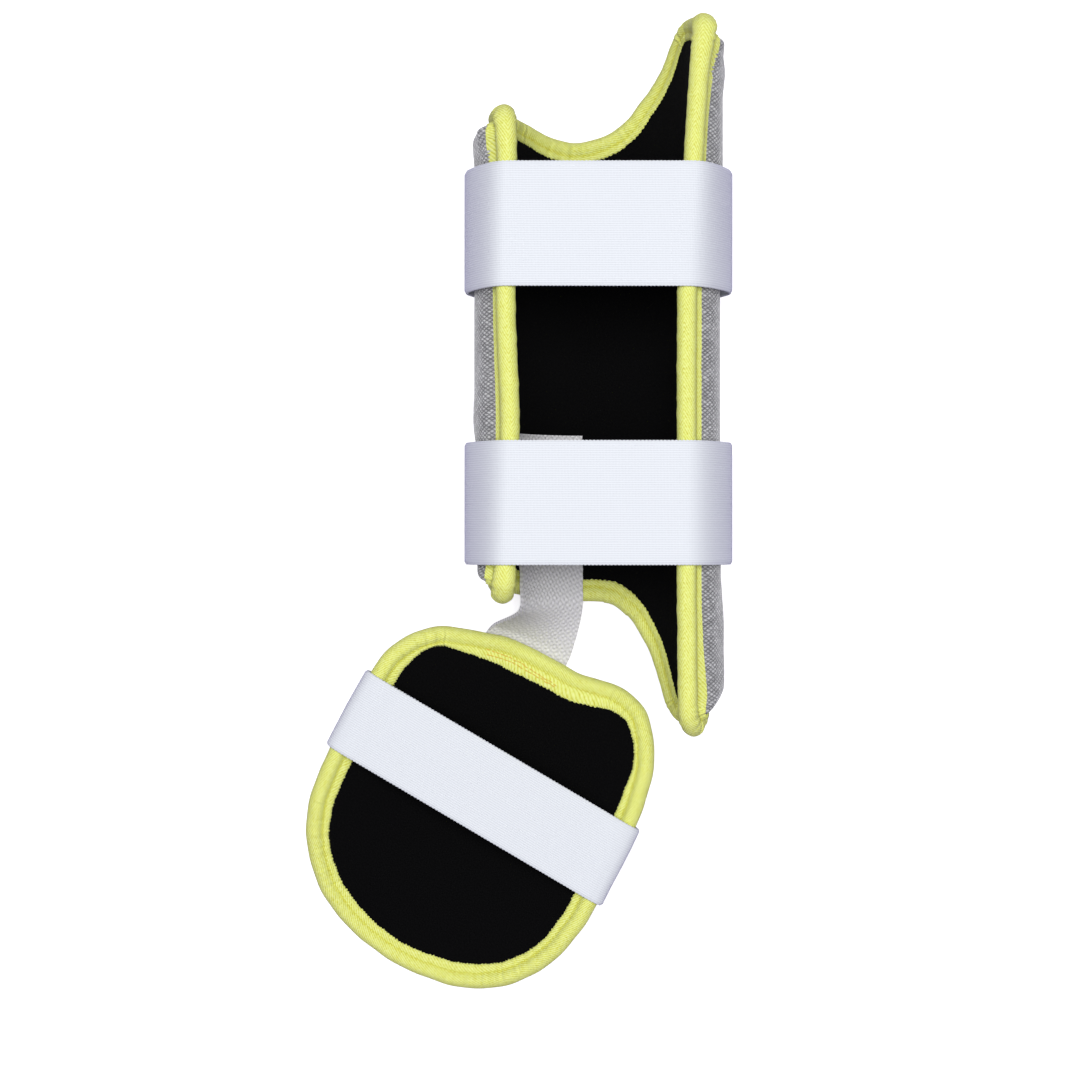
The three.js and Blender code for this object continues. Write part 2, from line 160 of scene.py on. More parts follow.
# Outer face of the folded tape, from the inner flange round the fold to the outer flange.
TAPE_PROFILE = (
    (11.4, -3.4), (10.8, -3.8), (9.7, -3.95), (8.7, -3.75), (7.9, -3.5), (7.1, -3.8), (5.8, -4.5),
    (4.2, -4.75), (2.3, -4.15), (0.75, -2.5), (0, 0), (0.75, 2.5), (2.3, 4.15), (4.2, 4.75),
    (5.8, 4.6), (7.1, 4.0), (7.9, 3.65), (8.8, 4.0), (9.9, 4.6), (11.0, 5.3),
)
# Inner face of the tape, back from the outer flange.
TAPE_BACK = (
    (11.0, 4.7), (9.9, 3.95), (8.6, 3.25), (4.5, 3.3), (1.4, 2.2),
    (1.4, -2.2), (4.5, -3.2), (8.6, -3.15), (11.4, -3.1),
)
TAPE_POINTS = 34
# Points of its closed ring merge within this distance, in metres.
MERGE_GAP = 1e-6
# Width of the tape on the lining, and of the foot's tape there, every 15 degrees.
TAPE_INNER_WIDTH = 11.4
FOOT_TAPE_WIDTH = (
    12.2, 12.1, 11.6, 9.8, 11.4, 14.4, 15, 15.2, 12.2, 9.4, 12.4, 12.8,
    12.8, 12.6, 11.9, 11, 11.7, 11.9, 11.6, 12.2, 12.6, 11.7, 11.1, 11.9,
)
# Sewn groove of the tape: distance from the edge, height of its bottom on the lining's and the cover's face.
TAPE_GROOVE = 7.9
GROOVE_LEVEL_INNER = 3.5
GROOVE_LEVEL_OUTER = 3.65
# Length over the tape from its fold to the groove, and half of the groove's width, in metres: there the
# tape's colour is darkened as painted shade.
GROOVE_OVER = 0.0108
GROOVE_HALF = 0.0008
# Toothed flanges past the groove.
FLANGE_START, FLANGE_FADE = 8.7, 2.0
TOOTH_UNEVEN, TOOTH_WAVES = 0.5, (3.1, 8.3)
# The shin's outer flange widens and rises towards its four corners, over this length of edge.
FLANGE_FLARE = 2.3
FLANGE_FLARE_UPPER_LEFT = 2.7
FLANGE_FLARE_RISE = 0.9
FLANGE_FLARE_LENGTH = 26.0
# An outline point this near to the full girth belongs to a straight side.
SIDE_MARGIN = 0.5
# Stations over which the changes along the tape are evened, and stations to each side for its directions.
EVENED_STATIONS = 31
EVENED_NORMALS = 3
# Uneven thickness of the roll at the fold, and uneven line of the whole edge: amount, wave lengths.
ROLL_UNEVEN, ROLL_WAVES, ROLL_REACH = 0.06, (7.3, 11.9, 19.0), 9.0
EDGE_UNEVEN, EDGE_WAVES = 0.3, (17.0, 29.0, 47.0)
# Bend of the edge, in radians per millimetre, at which the tape puckers fully, the share of puckers that
# a straight edge has, and the length of edge that the bend is read over.
PUCKER_BEND, PUCKER_LEAST, BEND_REACH = 0.03, 0.08, 4.0
PUCKER_HEIGHT = 0.42
# The puckers fade in from the fold, and out towards a distance from the edge.
PUCKER_FADE, PUCKER_END = 3.0, 12.9
# Wave lengths of the puckers, and how far and over which lengths they wander along the edge.
CREASE_WAVES, CREASE_SWAY, CREASE_SWAY_WAVES = (3.7, 5.9), 1.6, (13.0, 23.0)
# Overlapped ends of the shin's tape at its lower edge: girth where they start, length, added height.
TAPE_JOINT = 4.0
TAPE_JOINT_LENGTH = 13.0
TAPE_JOINT_HEIGHT = 0.55
# The overlap starts over a fade, is full from this height on, and stands out past the edge.
TAPE_JOINT_FADE, TAPE_JOINT_FULL, TAPE_JOINT_OUT = 0.6, 2.0, 0.4

# One stitch is a drawn-out ball. Its length is a share of the pitch.
STITCH_SIDES, STITCH_RINGS = 6, 4
STITCH_FLATNESS = 0.8
STITCH_LINE_POINTS = 400
TAPE_STITCH_SHARE, TAPE_STITCH_LIFT = 0.72, 0.05
# Box of stitches at a band's ends, in metres: distance from the band's edges, depth, lift off the elastic.
BAND_END_MARGIN, BAND_END_DEPTH = 0.004, 0.016
BAND_STITCH_SHARE, BAND_STITCH_LIFT = 0.75, 0.0001
# Rows of thread that hold the webbing to the foot pad: distance from the edge at their right and left ends.
SEAT_ROWS = ((11.0, 8.3), (12.0, 10.9))
# Half of their length, their pitch and thread, and how far a stitch strays.
SEAT_HALF = 21.0
SEAT_PITCH = 2.4
SEAT_THREAD = 0.7
SEAT_STRAY_OUT, SEAT_STRAY_ALONG = 0.25, 0.4
# Height of the tape's inner flange under those rows: distances from the edge, heights.
SEAT_FACE = ((7.1, 7.9, 8.7, 10, 14), (3.8, 3.5, 3.75, 3.95, 3.9))
# The thread lies this far over it.
SEAT_LIFT = 0.2

# Middles of the bands, along the leg and along the foot pad.
UPPER_BAND_Y = 152.3
LOWER_BAND_Y = 18.0
FOOT_BAND_Y = 11.0
# Inner face of a shin band where it lies on the cover, from its end: inset, height.
SHIN_BAND_SEAT = ((62, 11.4), (54, 11.6), (44, 12.8))
# Then its free bulge, from the cover's widest place up and in to the bound edge: shares out and down.
BAND_WIDEST = 14.7
BAND_LIFT = 0.4
BAND_LIFT_PER_DEGREE = 0.036
BAND_BULGE = (
    (1, 1), (0.967, 0.786), (0.88, 0.634), (0.77, 0.49), (0.66, 0.365), (0.55, 0.255),
    (0.44, 0.163), (0.33, 0.09), (0.22, 0.038), (0.11, 0.008), (0, 0),
)
# Places along the taut span of a band, between the two edges that it crosses.
BAND_SPAN = (0.1, 0.3, 0.5, 0.7, 0.9)
# Inner face of the foot band, from its end under the pad round the edge: inset, height.
FOOT_BAND_FOLDS = (
    (29, 11.7), (20, 11), (15.5, 9.6), (13, 8), (10.6, 6.7), (5.5, 5.6),
    (2.1, 5), (0.1, 3), (-0.9, 0), (0.1, -3), (2.1, -5),
)
SHIN_BAND_LINES, FOOT_BAND_LINES = 7, 5
BAND_COLUMNS = 44
# Shares of the half width from which a band's edges carry loops and thin out, and how much they thin out.
LOOP_FROM = 0.97
THIN_FROM, THIN_SHARE = 0.96, 0.45

# Webbing inside the shin: place along the leg, lift of its under face from the lining.
WEBBING_RUN = ((54, 0.7), (28, 0.7), (4, 0.7), (-8, 0.8), (-15, 2.3), (-24, 2.4), (-33, 2.6))
WEBBING_RIGHT_EDGE = -7.5
# Its middle on the foot pad, its height under the pad's seam, and how far before and past the edge it runs.
WEBBING_FOOT_U = -15.5
WEBBING_UNDER = 8.0
WEBBING_LEAD = 1.5
WEBBING_SEAT = 10.0
# Free sweep between the two: steps, its direction as it leaves the shin, its straightness as it lands.
WEBBING_FREE_STEPS = 7
WEBBING_LEAVES = (0, -0.5, -0.15)
WEBBING_LANDS = 0.5
WEBBING_COLUMNS = 108
WEBBING_STEP = 0.42
# The dents between the dots are only this deep, as a share of a dot's height.
WEBBING_DENT = -0.3

# Stage, in metres: floor, sky, and the lights' places from the view's middle, sizes and shares of the power.
FLOOR_SIZE = 8.0
FLOOR_DROP = 0.0004
FLOOR_GLOW = 0.6
SKY_COLOUR = (0.74, 0.68, 1.0)
LIGHTS = (
    ("key", (-0.05, 0.42, 2.2), 1.0, 0.6),
    ("fill", (0.1, -0.15, 2.3), 1.2, 0.4),
)
# Width of the camera's film, in millimetres.
FILM_WIDTH = 36.0


# Curves and patterns

def columns_of(table):
    return np.array(table, float).T


def unit(vectors):
    return vectors / np.linalg.norm(vectors, axis=-1, keepdims=True)


def eased(share):
    share = np.clip(share, 0, 1)
    return share * share * (3 - 2 * share)


def waves(place, rng, lengths):
    """Gentle uneven ripple, from -1 to 1, along a place in millimetres."""
    total = np.zeros_like(place, float)
    for length in lengths:
        total += np.sin(2 * math.pi * (place / length + rng.random()))
    return total / len(lengths)


def hermite(knots, rows, at):
    """Smooth curve through a table's rows, read at any places along its knots."""
    knots = np.asarray(knots, float)
    rows = np.asarray(rows, float)
    slopes = np.gradient(rows, knots, axis=0)
    at = np.clip(at, knots[0], knots[-1])
    k = np.clip(np.searchsorted(knots, at, side="right") - 1, 0, len(knots) - 2)
    step = knots[k + 1] - knots[k]
    t = (at - knots[k]) / step
    if rows.ndim > 1:
        t, step = t[:, None], step[:, None]
    rise = 3 * t**2 - 2 * t**3
    start, end = (t**3 - 2 * t**2 + t) * step, (t**3 - t**2) * step
    return (1 - rise) * rows[k] + rise * rows[k + 1] + start * slopes[k] + end * slopes[k + 1]


def lengths_along(rows):
    steps = np.linalg.norm(np.diff(rows, axis=0), axis=1)
    return np.concatenate([[0.0], np.cumsum(steps)])


def perimeter_of(outline):
    return lengths_along(np.vstack([outline, outline[:1]]))[-1]


def flowing(rows, count, closed=False):
    """Points at equal steps along a smooth curve through the rows."""
    rows = np.asarray(rows, float)
    first, last = 0, len(rows) - 1
    wide = rows
    if closed:
        first, last = CURVE_LAP, CURVE_LAP + len(rows)
        wide = np.vstack([rows[-CURVE_LAP:], rows, rows[:CURVE_LAP]])
    knots = lengths_along(wide)
    dense = hermite(knots, wide, np.linspace(knots[first], knots[last], CURVE_STEPS * len(rows)))
    arc = lengths_along(dense)
    steps = np.linspace(0, arc[-1], count, endpoint=not closed)
    return np.column_stack([np.interp(steps, arc, column) for column in dense.T])


def inward(outline):
    """Unit direction into the pattern at each point of an anticlockwise outline."""
    ahead = np.roll(outline, -1, axis=0) - outline
    behind = outline - np.roll(outline, 1, axis=0)
    along = unit(unit(ahead) + unit(behind))
    return np.column_stack([-along[:, 1], along[:, 0]])


def edge_distance(outline, points):
    """Distance of pattern points from a finely stepped outline."""
    least = np.full(len(points), np.inf)
    for start in range(0, len(outline), DISTANCE_BATCH):
        part = outline[start:start + DISTANCE_BATCH]
        gaps = np.linalg.norm(points[:, None, :] - part[None, :, :], axis=2)
        least = np.minimum(least, gaps.min(axis=1))
    return least


def edge_bend(outline, step):
    """Sharpness of an outline's turn at each point, in radians per millimetre."""
    ahead = np.roll(outline, -1, axis=0) - outline
    heading = np.unwrap(np.arctan2(ahead[:, 1], ahead[:, 0]))
    reach = int(BEND_REACH / step)
    turned = np.roll(heading, -reach) - np.roll(heading, reach)
    turned = np.mod(turned + math.pi, 2 * math.pi) - math.pi
    return np.abs(turned) / (2 * reach * step)


def evened(values):
    """Values round a closed edge, each the mean of its neighbours."""
    half = EVENED_STATIONS // 2
    lapped = np.concatenate([values[-half:], values, values[:half]])
    return np.convolve(lapped, np.ones(EVENED_STATIONS) / EVENED_STATIONS, "valid")


def shin_edges():
    """Bottom and top edge of the shin's pattern, left to right, with their rounded corners."""
    girth, top, bottom = columns_of(SHIN_SECTIONS)
    turn = np.radians(SHIN_CORNER_TURNS)

    def edge(level, up):
        reach, drop = SHIN_CORNER * np.cos(turn), up * SHIN_CORNER * (1 - np.sin(turn))
        left = np.column_stack([girth[0] - reach, level[0] - drop])
        right = np.column_stack([girth[-1] + reach, level[-1] - drop])
        return np.vstack([left, np.column_stack([girth, level]), right[::-1]])

    return edge(bottom, -1), edge(top, 1)


def shin_outline():
    """Bound outline of the shin's pattern, anticlockwise from the lower left corner."""
    bottom, top = shin_edges()
    right = [bottom[-1] + share * (top[-1] - bottom[-1]) for share in SIDE_SHARES]
    left = [top[0] + share * (bottom[0] - top[0]) for share in SIDE_SHARES]
    return np.vstack([bottom, right, top[::-1], left])


def foot_outline():
    """Bound outline of the foot pad's pattern, anticlockwise from its right side."""
    degrees, reach = columns_of(FOOT_REACH)
    turn = np.radians(degrees)
    return np.column_stack([reach * np.cos(turn), reach * np.sin(turn)])


def foot_rim():
    return flowing(foot_outline(), FOOT_FINE, True)


def shin_lean(girth, along):
    knots, left, right = columns_of(SHIN_LEAN)
    return np.where(girth < 0, hermite(knots, left, along), hermite(knots, right, along))


def shin_form(girth, along, height):
    """Place on the shin shell of points of its flat pattern, raised off the seam."""
    turn = np.minimum(np.abs(girth) / SHIN_RADIUS, math.pi / 2 + np.radians(shin_lean(girth, along)))
    run = np.abs(girth) - turn * SHIN_RADIUS
    across = (SHIN_RADIUS + height) * np.sin(turn) + run * np.cos(turn)
    up = SHIN_AXIS_Z - (SHIN_RADIUS + height) * np.cos(turn) + run * np.sin(turn)
    x = SHIN_MIDDLE_X + np.sign(girth) * across + PATTERN_X
    return np.column_stack(np.broadcast_arrays(x, along + PATTERN_Y, np.maximum(up, 0))) * MM


def foot_form(girth, along, height):
    """Place on the foot pad of points of its flat pattern, raised off the seam."""
    turn = girth / FOOT_RADIUS
    across = (FOOT_RADIUS + height) * np.sin(turn)
    up = FOOT_AXIS_Z - (FOOT_RADIUS + height) * np.cos(turn)
    x = FOOT_MIDDLE[0] + across * math.cos(FOOT_TURN) + along * math.sin(FOOT_TURN)
    y = FOOT_MIDDLE[1] - across * math.sin(FOOT_TURN) + along * math.cos(FOOT_TURN)
    return np.column_stack([x + PATTERN_X, y + PATTERN_Y, np.maximum(up, 0)]) * MM


def blunt_share(girth, along):
    """How far a point of the shin's pattern belongs to a blunt end, from 0 to 1."""
    low, high = (np.interp(girth, *edge.T) for edge in shin_edges())
    to_end = np.minimum(along - low, high - along)
    to_side = SHIN_HALF_GIRTH - np.abs(girth)
    blunt = eased((np.abs(girth) - BLUNT_FROM) / BLUNT_FADE) * eased((to_side - to_end) / BLUNT_CORNER + 0.5)
    return np.where((girth > 0) & (along > 0), BLUNT_UPPER_RIGHT, 1.0) * blunt


def fuller_share(points, reach):
    """Added fullness at points of the shin's pattern: whole within a reach of the corners, then fading."""
    bottom, top = shin_edges()
    share = np.zeros(len(points))
    for corner, most in zip((top[1], top[-2], bottom[1]), FULLER):
        gap = np.maximum(0, np.linalg.norm(points - corner, axis=1) - reach) / FULLER_LENGTH
        share += most * np.exp(-gap**2)
    return share


# Meshes

def pick(piece):
    """Selects one object alone and makes it the active one."""
    bpy.ops.object.select_all(action="DESELECT")
    piece.select_set(True)
    bpy.context.view_layer.objects.active = piece


def points_of(piece):
    at = np.empty(len(piece.data.vertices) * 3)
    piece.data.vertices.foreach_get("co", at)
    return at.reshape(-1, 3)


def place_points(piece, points):
    piece.data.vertices.foreach_set("co", np.ascontiguousarray(points, float).ravel())
    piece.data.update()


def start_grid(name, columns, rows, thick):
    """Adds a flat grid from -1 to 1 both ways, with a second layer over it where the piece is thick."""
    bpy.ops.object.select_all(action="DESELECT")
    bpy.ops.mesh.primitive_grid_add(x_subdivisions=columns, y_subdivisions=rows, size=2.0)
    piece = bpy.context.object
    piece.name = piece.data.name = name
    if thick:
        bpy.ops.object.mode_set(mode="EDIT")
        bpy.ops.mesh.select_all(action="SELECT")
        bpy.ops.mesh.extrude_region_move(TRANSFORM_OT_translate={"value": (0, 0, 1)})
        bpy.ops.object.mode_set(mode="OBJECT")
    return piece


def lattice(piece, columns, rows):
    """Column, row and layer of each point of a grid that hasn't been shaped yet."""
    x, y, z = points_of(piece).T
    column = np.rint((x + 1) / 2 * columns).astype(int)
    row = np.rint((y + 1) / 2 * rows).astype(int)
    return column, row, np.rint(z).astype(int)


def lay_pattern(piece, u, v):
    """Writes each point's place on the flat cloth, in metres, to the piece's UV map."""
    loops = np.empty(len(piece.data.loops), int)
    piece.data.loops.foreach_get("vertex_index", loops)
    spots = np.column_stack([u[loops], v[loops]])
    piece.data.uv_layers.active.data.foreach_set("uv", spots.ravel())


def face_outwards(piece, merge=False):
    """Merges doubled points if asked, and turns every face outwards."""
    pick(piece)
    bpy.ops.object.mode_set(mode="EDIT")
    bpy.ops.mesh.select_all(action="SELECT")
    if merge:
        bpy.ops.mesh.remove_doubles(threshold=MERGE_GAP)
    bpy.ops.mesh.normals_make_consistent(inside=False)
    bpy.ops.object.mode_set(mode="OBJECT")


def smooth(piece, degrees):
    pick(piece)
    bpy.ops.object.shade_smooth_by_angle(angle=math.radians(degrees))


def apply_modifier(piece, modifier):
    bpy.context.view_layer.objects.active = piece
    bpy.ops.object.modifier_apply(modifier=modifier.name)


def dress(piece, material, slot, *nodes):
    """Gives a finished piece its material and its body, and hides the solids that it stands for; the slot is
    not used.
    """
    piece.data.materials.clear()
    piece.data.materials.append(material)
    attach(piece, "root")
    if nodes:
        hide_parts(*nodes)
    return piece


def swell(piece, held, pressure, most):
    """Blows a cover up like stuffed cloth: held points stay, the others move out by a length at most."""
    before = points_of(piece)
    outwards = np.empty(before.size)
    piece.data.vertices.foreach_get("normal", outwards)
    outwards = outwards.reshape(-1, 3)
    group = piece.vertex_groups.new(name="held")
    held = np.round(held, 2)
    for weight in np.unique(held[held > 0]):
        group.add(np.flatnonzero(held == weight).tolist(), float(weight), "REPLACE")
    modifier = piece.modifiers.new("Swell", "CLOTH")
    cloth = modifier.settings
    cloth.vertex_group_mass = "held"
    cloth.use_pressure = True
    cloth.uniform_pressure_force = pressure
    cloth.effector_weights.gravity = 0
    cloth.shrink_min = SWELL_SHRINK
    cloth.tension_stiffness = SWELL_STIFFNESS
    cloth.compression_stiffness = SWELL_STIFFNESS
    cloth.bending_stiffness = SWELL_BENDING
    modifier.collision_settings.use_collision = False
    modifier.point_cache.frame_start = 1
    modifier.point_cache.frame_end = SWELL_FRAMES
    scene = bpy.context.scene
    for step in range(1, SWELL_FRAMES + 1):
        scene.frame_set(step)
    apply_modifier(piece, modifier)
    scene.frame_set(1)
    piece.vertex_groups.clear()
    moved = points_of(piece) - before
    sunk = np.minimum(0, (moved * outwards).sum(axis=1) + SWELL_HOLLOW)
    moved -= sunk[:, None] * outwards
    far = np.linalg.norm(moved, axis=1)
    moved *= np.minimum(1, most / np.maximum(far, 1e-9))[:, None]
    after = before + moved
    after[:, 2] = np.maximum(after[:, 2], 0)
    place_points(piece, after)


def sew(name, places, lies, faces_up, length, width, material, slot):
    """Row of stitches: one is modelled and copied to each place, along its row and flat on the cloth."""
    bpy.ops.object.select_all(action="DESELECT")
    bpy.ops.mesh.primitive_uv_sphere_add(segments=STITCH_SIDES, ring_count=STITCH_RINGS, radius=1.0)
    pattern = bpy.context.object
    shape = points_of(pattern)[:, [2, 0, 1]]
    rounds = [list(face.vertices) for face in pattern.data.polygons]
    bpy.data.objects.remove(pattern)
    along = unit(lies)
    side = unit(np.cross(faces_up, along))
    ways = np.stack([along, side, np.cross(along, side)], axis=1)
    size = np.array([length, width, width * STITCH_FLATNESS]) / 2
    points = places[:, None, :] + (shape * size) @ ways
    faces = [[k * len(shape) + corner for corner in face] for k in range(len(places)) for face in rounds]
    mesh = bpy.data.meshes.new(name)
    mesh.from_pydata(points.reshape(-1, 3).tolist(), [], faces)
    piece = bpy.data.objects.new(name, mesh)
    bpy.context.scene.collection.objects.link(piece)
    face_outwards(piece)
    smooth(piece, STITCH_SMOOTH)
    return dress(piece, material, slot)


# Materials

class Cloth:
    """Node tree of one cloth: numbers worked out from its pattern, and the shader that they feed."""

    def __init__(self, name, roughness, specular, sheen=0.0, metallic=0.0):
        self.material = bpy.data.materials.new(name)
        self.material.use_nodes = True
        self.tree = self.material.node_tree
        self.shader = self.tree.nodes["Principled BSDF"]
        self.shader.inputs["Roughness"].default_value = roughness
        self.shader.inputs["Specular IOR Level"].default_value = specular
        self.shader.inputs["Sheen Weight"].default_value = sheen
        self.shader.inputs["Metallic"].default_value = metallic
        coordinates = self.tree.nodes.new("ShaderNodeTexCoord")
        self.flat = coordinates.outputs["UV"]
        self.solid = coordinates.outputs["Object"]

    def number(self, operation, *values):
        """Result of a math node on sockets and constants."""
        node = self.tree.nodes.new("ShaderNodeMath")
        node.operation = operation
        for socket, value in zip(node.inputs, values):
            if isinstance(value, (int, float)):
                socket.default_value = value
            else:
                self.tree.links.new(value, socket)
        return node.outputs[0]

    def blend(self, *parts, start=0.0):
        """Sum of a start and of (number, weight) parts."""
        total = start
        for value, weight in parts:
            total = self.number("MULTIPLY_ADD", value, weight, total)
        return total

    def shifted(self, place, noise, most):
        """A place along the cloth, moved to and fro by a noise."""
        return self.number("ADD", place, self.blend((noise, most), start=-most / 2))

    def ribs(self, place, distance):
        """Rounded ribs from 0 to 1, at equal distances along a place."""
        phase = self.number("MULTIPLY", place, math.pi / distance)
        return self.number("ABSOLUTE", self.number("SINE", phase))

    def swing(self, place, distance):
        return self.number("COSINE", self.number("MULTIPLY", place, 2 * math.pi / distance))

    def pattern(self):
        split = self.tree.nodes.new("ShaderNodeSeparateXYZ")
        self.tree.links.new(self.flat, split.inputs[0])
        return split.outputs[0], split.outputs[1]

    def noise(self, where, scale, detail=2.0, rough=0.5):
        node = self.tree.nodes.new("ShaderNodeTexNoise")
        node.inputs["Scale"].default_value = scale
        node.inputs["Detail"].default_value = detail
        node.inputs["Roughness"].default_value = rough
        self.tree.links.new(where, node.inputs["Vector"])
        return node.outputs["Fac"]

    def paint(self, driver, base, *stops):
        """Colours the cloth by a number: places, each with the share of the base colour there."""
        ramp = self.tree.nodes.new("ShaderNodeValToRGB")
        while len(ramp.color_ramp.elements) < len(stops):
            ramp.color_ramp.elements.new(0.5)
        for element, (place, share) in zip(ramp.color_ramp.elements, stops):
            element.position = place
            element.color = (*np.minimum(1.0, np.multiply(base[:3], share)), 1)
        self.tree.links.new(driver, ramp.inputs[0])
        self.tree.links.new(ramp.outputs[0], self.shader.inputs["Base Color"])

    def raise_by(self, height, depth):
        bump = self.tree.nodes.new("ShaderNodeBump")
        bump.inputs["Distance"].default_value = depth
        bump.inputs["Strength"].default_value = 1.0
        self.tree.links.new(height, bump.inputs["Height"])
        self.tree.links.new(bump.outputs[0], self.shader.inputs["Normal"])


def weave_cells(cloth, u, v, width, height, roundness):
    """Diamond cells of a loose weave: dark gaps between them from 0 to 1, and a number for each cell."""
    wide, high = cloth.number("DIVIDE", u, width), cloth.number("DIVIDE", v, height)
    ways = [cloth.number("ADD", wide, high), cloth.number("SUBTRACT", wide, high)]

    def crest(way):
        off = cloth.number("ABSOLUTE", cloth.blend((cloth.number("FRACT", way), 2.0), start=-1.0))
        return cloth.number("SUBTRACT", 1.0, cloth.number("POWER", off, roundness))

    own = cloth.tree.nodes.new("ShaderNodeTexWhiteNoise")
    own.noise_dimensions = "2D"
    pair = cloth.tree.nodes.new("ShaderNodeCombineXYZ")
    for k, way in enumerate(ways):
        cloth.tree.links.new(cloth.number("FLOOR", way), pair.inputs[k])
    cloth.tree.links.new(pair.outputs[0], own.inputs["Vector"])
    gap = cloth.number("SUBTRACT", 1.0, cloth.number("MULTIPLY", crest(ways[0]), crest(ways[1])))
    return gap, own.outputs["Value"]


def silver_weave(colours, sizes):
    """Cover: a loose silver weave with wandering rows, uneven threads and dark gaps."""
    cloth = Cloth("silver_weave", roughness=0.42, specular=0.5, metallic=0.2)
    u, v = cloth.pattern()
    u = cloth.shifted(u, cloth.noise(cloth.flat, scale=220.0), most=0.0014)
    v = cloth.shifted(v, cloth.noise(cloth.flat, scale=260.0), most=0.001)
    gap, own = weave_cells(cloth, u, v, sizes.cover_cell_width, sizes.cover_cell_height, roundness=2.2)
    fibre = cloth.noise(cloth.flat, scale=1500.0)
    cloudy = cloth.noise(cloth.flat, scale=70.0)
    depth = cloth.blend((cloudy, 0.9), start=0.35)
    threads = cloth.blend((own, 0.4), (fibre, 0.9), start=0.15)
    mixed = cloth.number("SUBTRACT", threads, cloth.number("MULTIPLY", gap, depth))
    cloth.paint(mixed, colours.cover, (0.0, 0.42), (0.6, 1.12), (1.0, 1.85))
    cloth.raise_by(mixed, depth=0.0005)
    return cloth.material


def black_pile(colours, sizes):
    """Lining: short black pile."""
    cloth = Cloth("black_pile", roughness=0.95, specular=0.03, sheen=0.012)
    pile = cloth.noise(cloth.flat, sizes.pile_fineness, detail=3.0, rough=0.7)
    cloth.paint(pile, colours.lining, (0.3, 0.25), (0.7, 2.1))
    cloth.raise_by(pile, depth=0.0006)
    return cloth.material


def lime_twill(colours, sizes):
    """Edge tape: slanted ribs that meet at the fold, fuzzy fibres, and painted shade along the sewn groove.
    """
    cloth = Cloth("lime_twill", roughness=0.7, specular=0.2, sheen=0.05)
    u, v = cloth.pattern()
    from_fold = cloth.number("ABSOLUTE", v)
    slant = math.radians(sizes.tape_rib_slant)
    rib = cloth.ribs(cloth.blend((u, math.sin(slant)), (from_fold, math.cos(slant))), sizes.tape_rib)
    fibre = cloth.noise(cloth.flat, scale=900.0)
    cloudy = cloth.noise(cloth.flat, scale=230.0)
    # Painted shade: a band along the sewn groove pulls the tape's colour down towards the deep colour.
    off = cloth.number("DIVIDE", cloth.number("SUBTRACT", from_fold, GROOVE_OVER), GROOVE_HALF)
    groove = cloth.number("EXPONENT", cloth.number("MULTIPLY", cloth.number("MULTIPLY", off, off), -1.0))
    mixed = cloth.blend((rib, 0.5), (fibre, 1.1), (cloudy, 0.36), (groove, -0.24), start=-0.44)
    # deep is a colour of painted shade, reached where the groove's band darkens the tape; the ribs' valleys
    # and the fibres' low spots lean towards it as well, and pale is for the crests and lighter fibres.
    deep, pale = (0.82, 0.72, 0.3), (1.1, 1.08, 1.7)
    cloth.paint(mixed, colours.binding, (0.16, deep), (0.56, 1.0), (0.88, pale))
    cloth.raise_by(cloth.blend((rib, 0.6), (fibre, 0.5)), depth=0.00026)
    return cloth.material


def white_elastic(colours, sizes):
    """Bands: fine lengthwise ribs and cross threads, with a cool sheen."""
    cloth = Cloth("white_elastic", roughness=0.7, specular=0.15, sheen=0.35)
    cloth.shader.inputs["Sheen Tint"].default_value = (0.6, 0.55, 1.0, 1)
    u, v = cloth.pattern()
    rib, pick_thread = cloth.ribs(v, sizes.band_rib), cloth.ribs(u, sizes.band_pick)
    fibre = cloth.noise(cloth.flat, scale=1500.0)
    mixed = cloth.blend((rib, 0.45), (pick_thread, 0.2), (fibre, 0.3))
    cloth.paint(mixed, colours.elastic, (0.1, 0.8), (0.6, 1.0), (1.0, 1.06))
    cloth.raise_by(mixed, depth=0.0002)
    return cloth.material


def grey_webbing(colours, sizes):
    """Webbing: rows of dots, set off from row to row."""
    cloth = Cloth("grey_webbing", roughness=0.65, specular=0.3, sheen=0.1)
    u, v = cloth.pattern()
    across, along = cloth.swing(u, sizes.webbing_dot_across), cloth.swing(v, sizes.webbing_dot_along)
    knot = cloth.number("MULTIPLY", across, along)
    fibre = cloth.noise(cloth.flat, scale=1200.0)
    mixed = cloth.blend((knot, 0.22), (fibre, 0.35), start=0.3)
    cloth.paint(mixed, colours.webbing, (0.1, 0.68), (0.5, 1.0), (0.9, 1.22))
    cloth.raise_by(fibre, depth=0.0002)
    return cloth.material


def thread(name, colour):
    """Twisted sewing thread."""
    cloth = Cloth(name, roughness=0.6, specular=0.3)
    twist = cloth.noise(cloth.solid, scale=2500.0)
    cloth.paint(twist, colour, (0.3, 0.75), (0.7, 1.1))
    cloth.raise_by(twist, depth=0.0001)
    return cloth.material


def pale_floor(colour):
    """Floor that glows a little, so that it stays pale."""
    cloth = Cloth("pale_floor", roughness=0.9, specular=0.1)
    cloth.paint(cloth.noise(cloth.solid, scale=6.0), colour, (0.0, 0.995), (1.0, 1.005))
    cloth.shader.inputs["Emission Color"].default_value = (1, 1, 1, 1)
    cloth.shader.inputs["Emission Strength"].default_value = FLOOR_GLOW
    return cloth.material


def material_of(name, make, *values):
    """The material of that name, made at its first use."""
    return bpy.data.materials.get(name) or make(*values)


# Pads

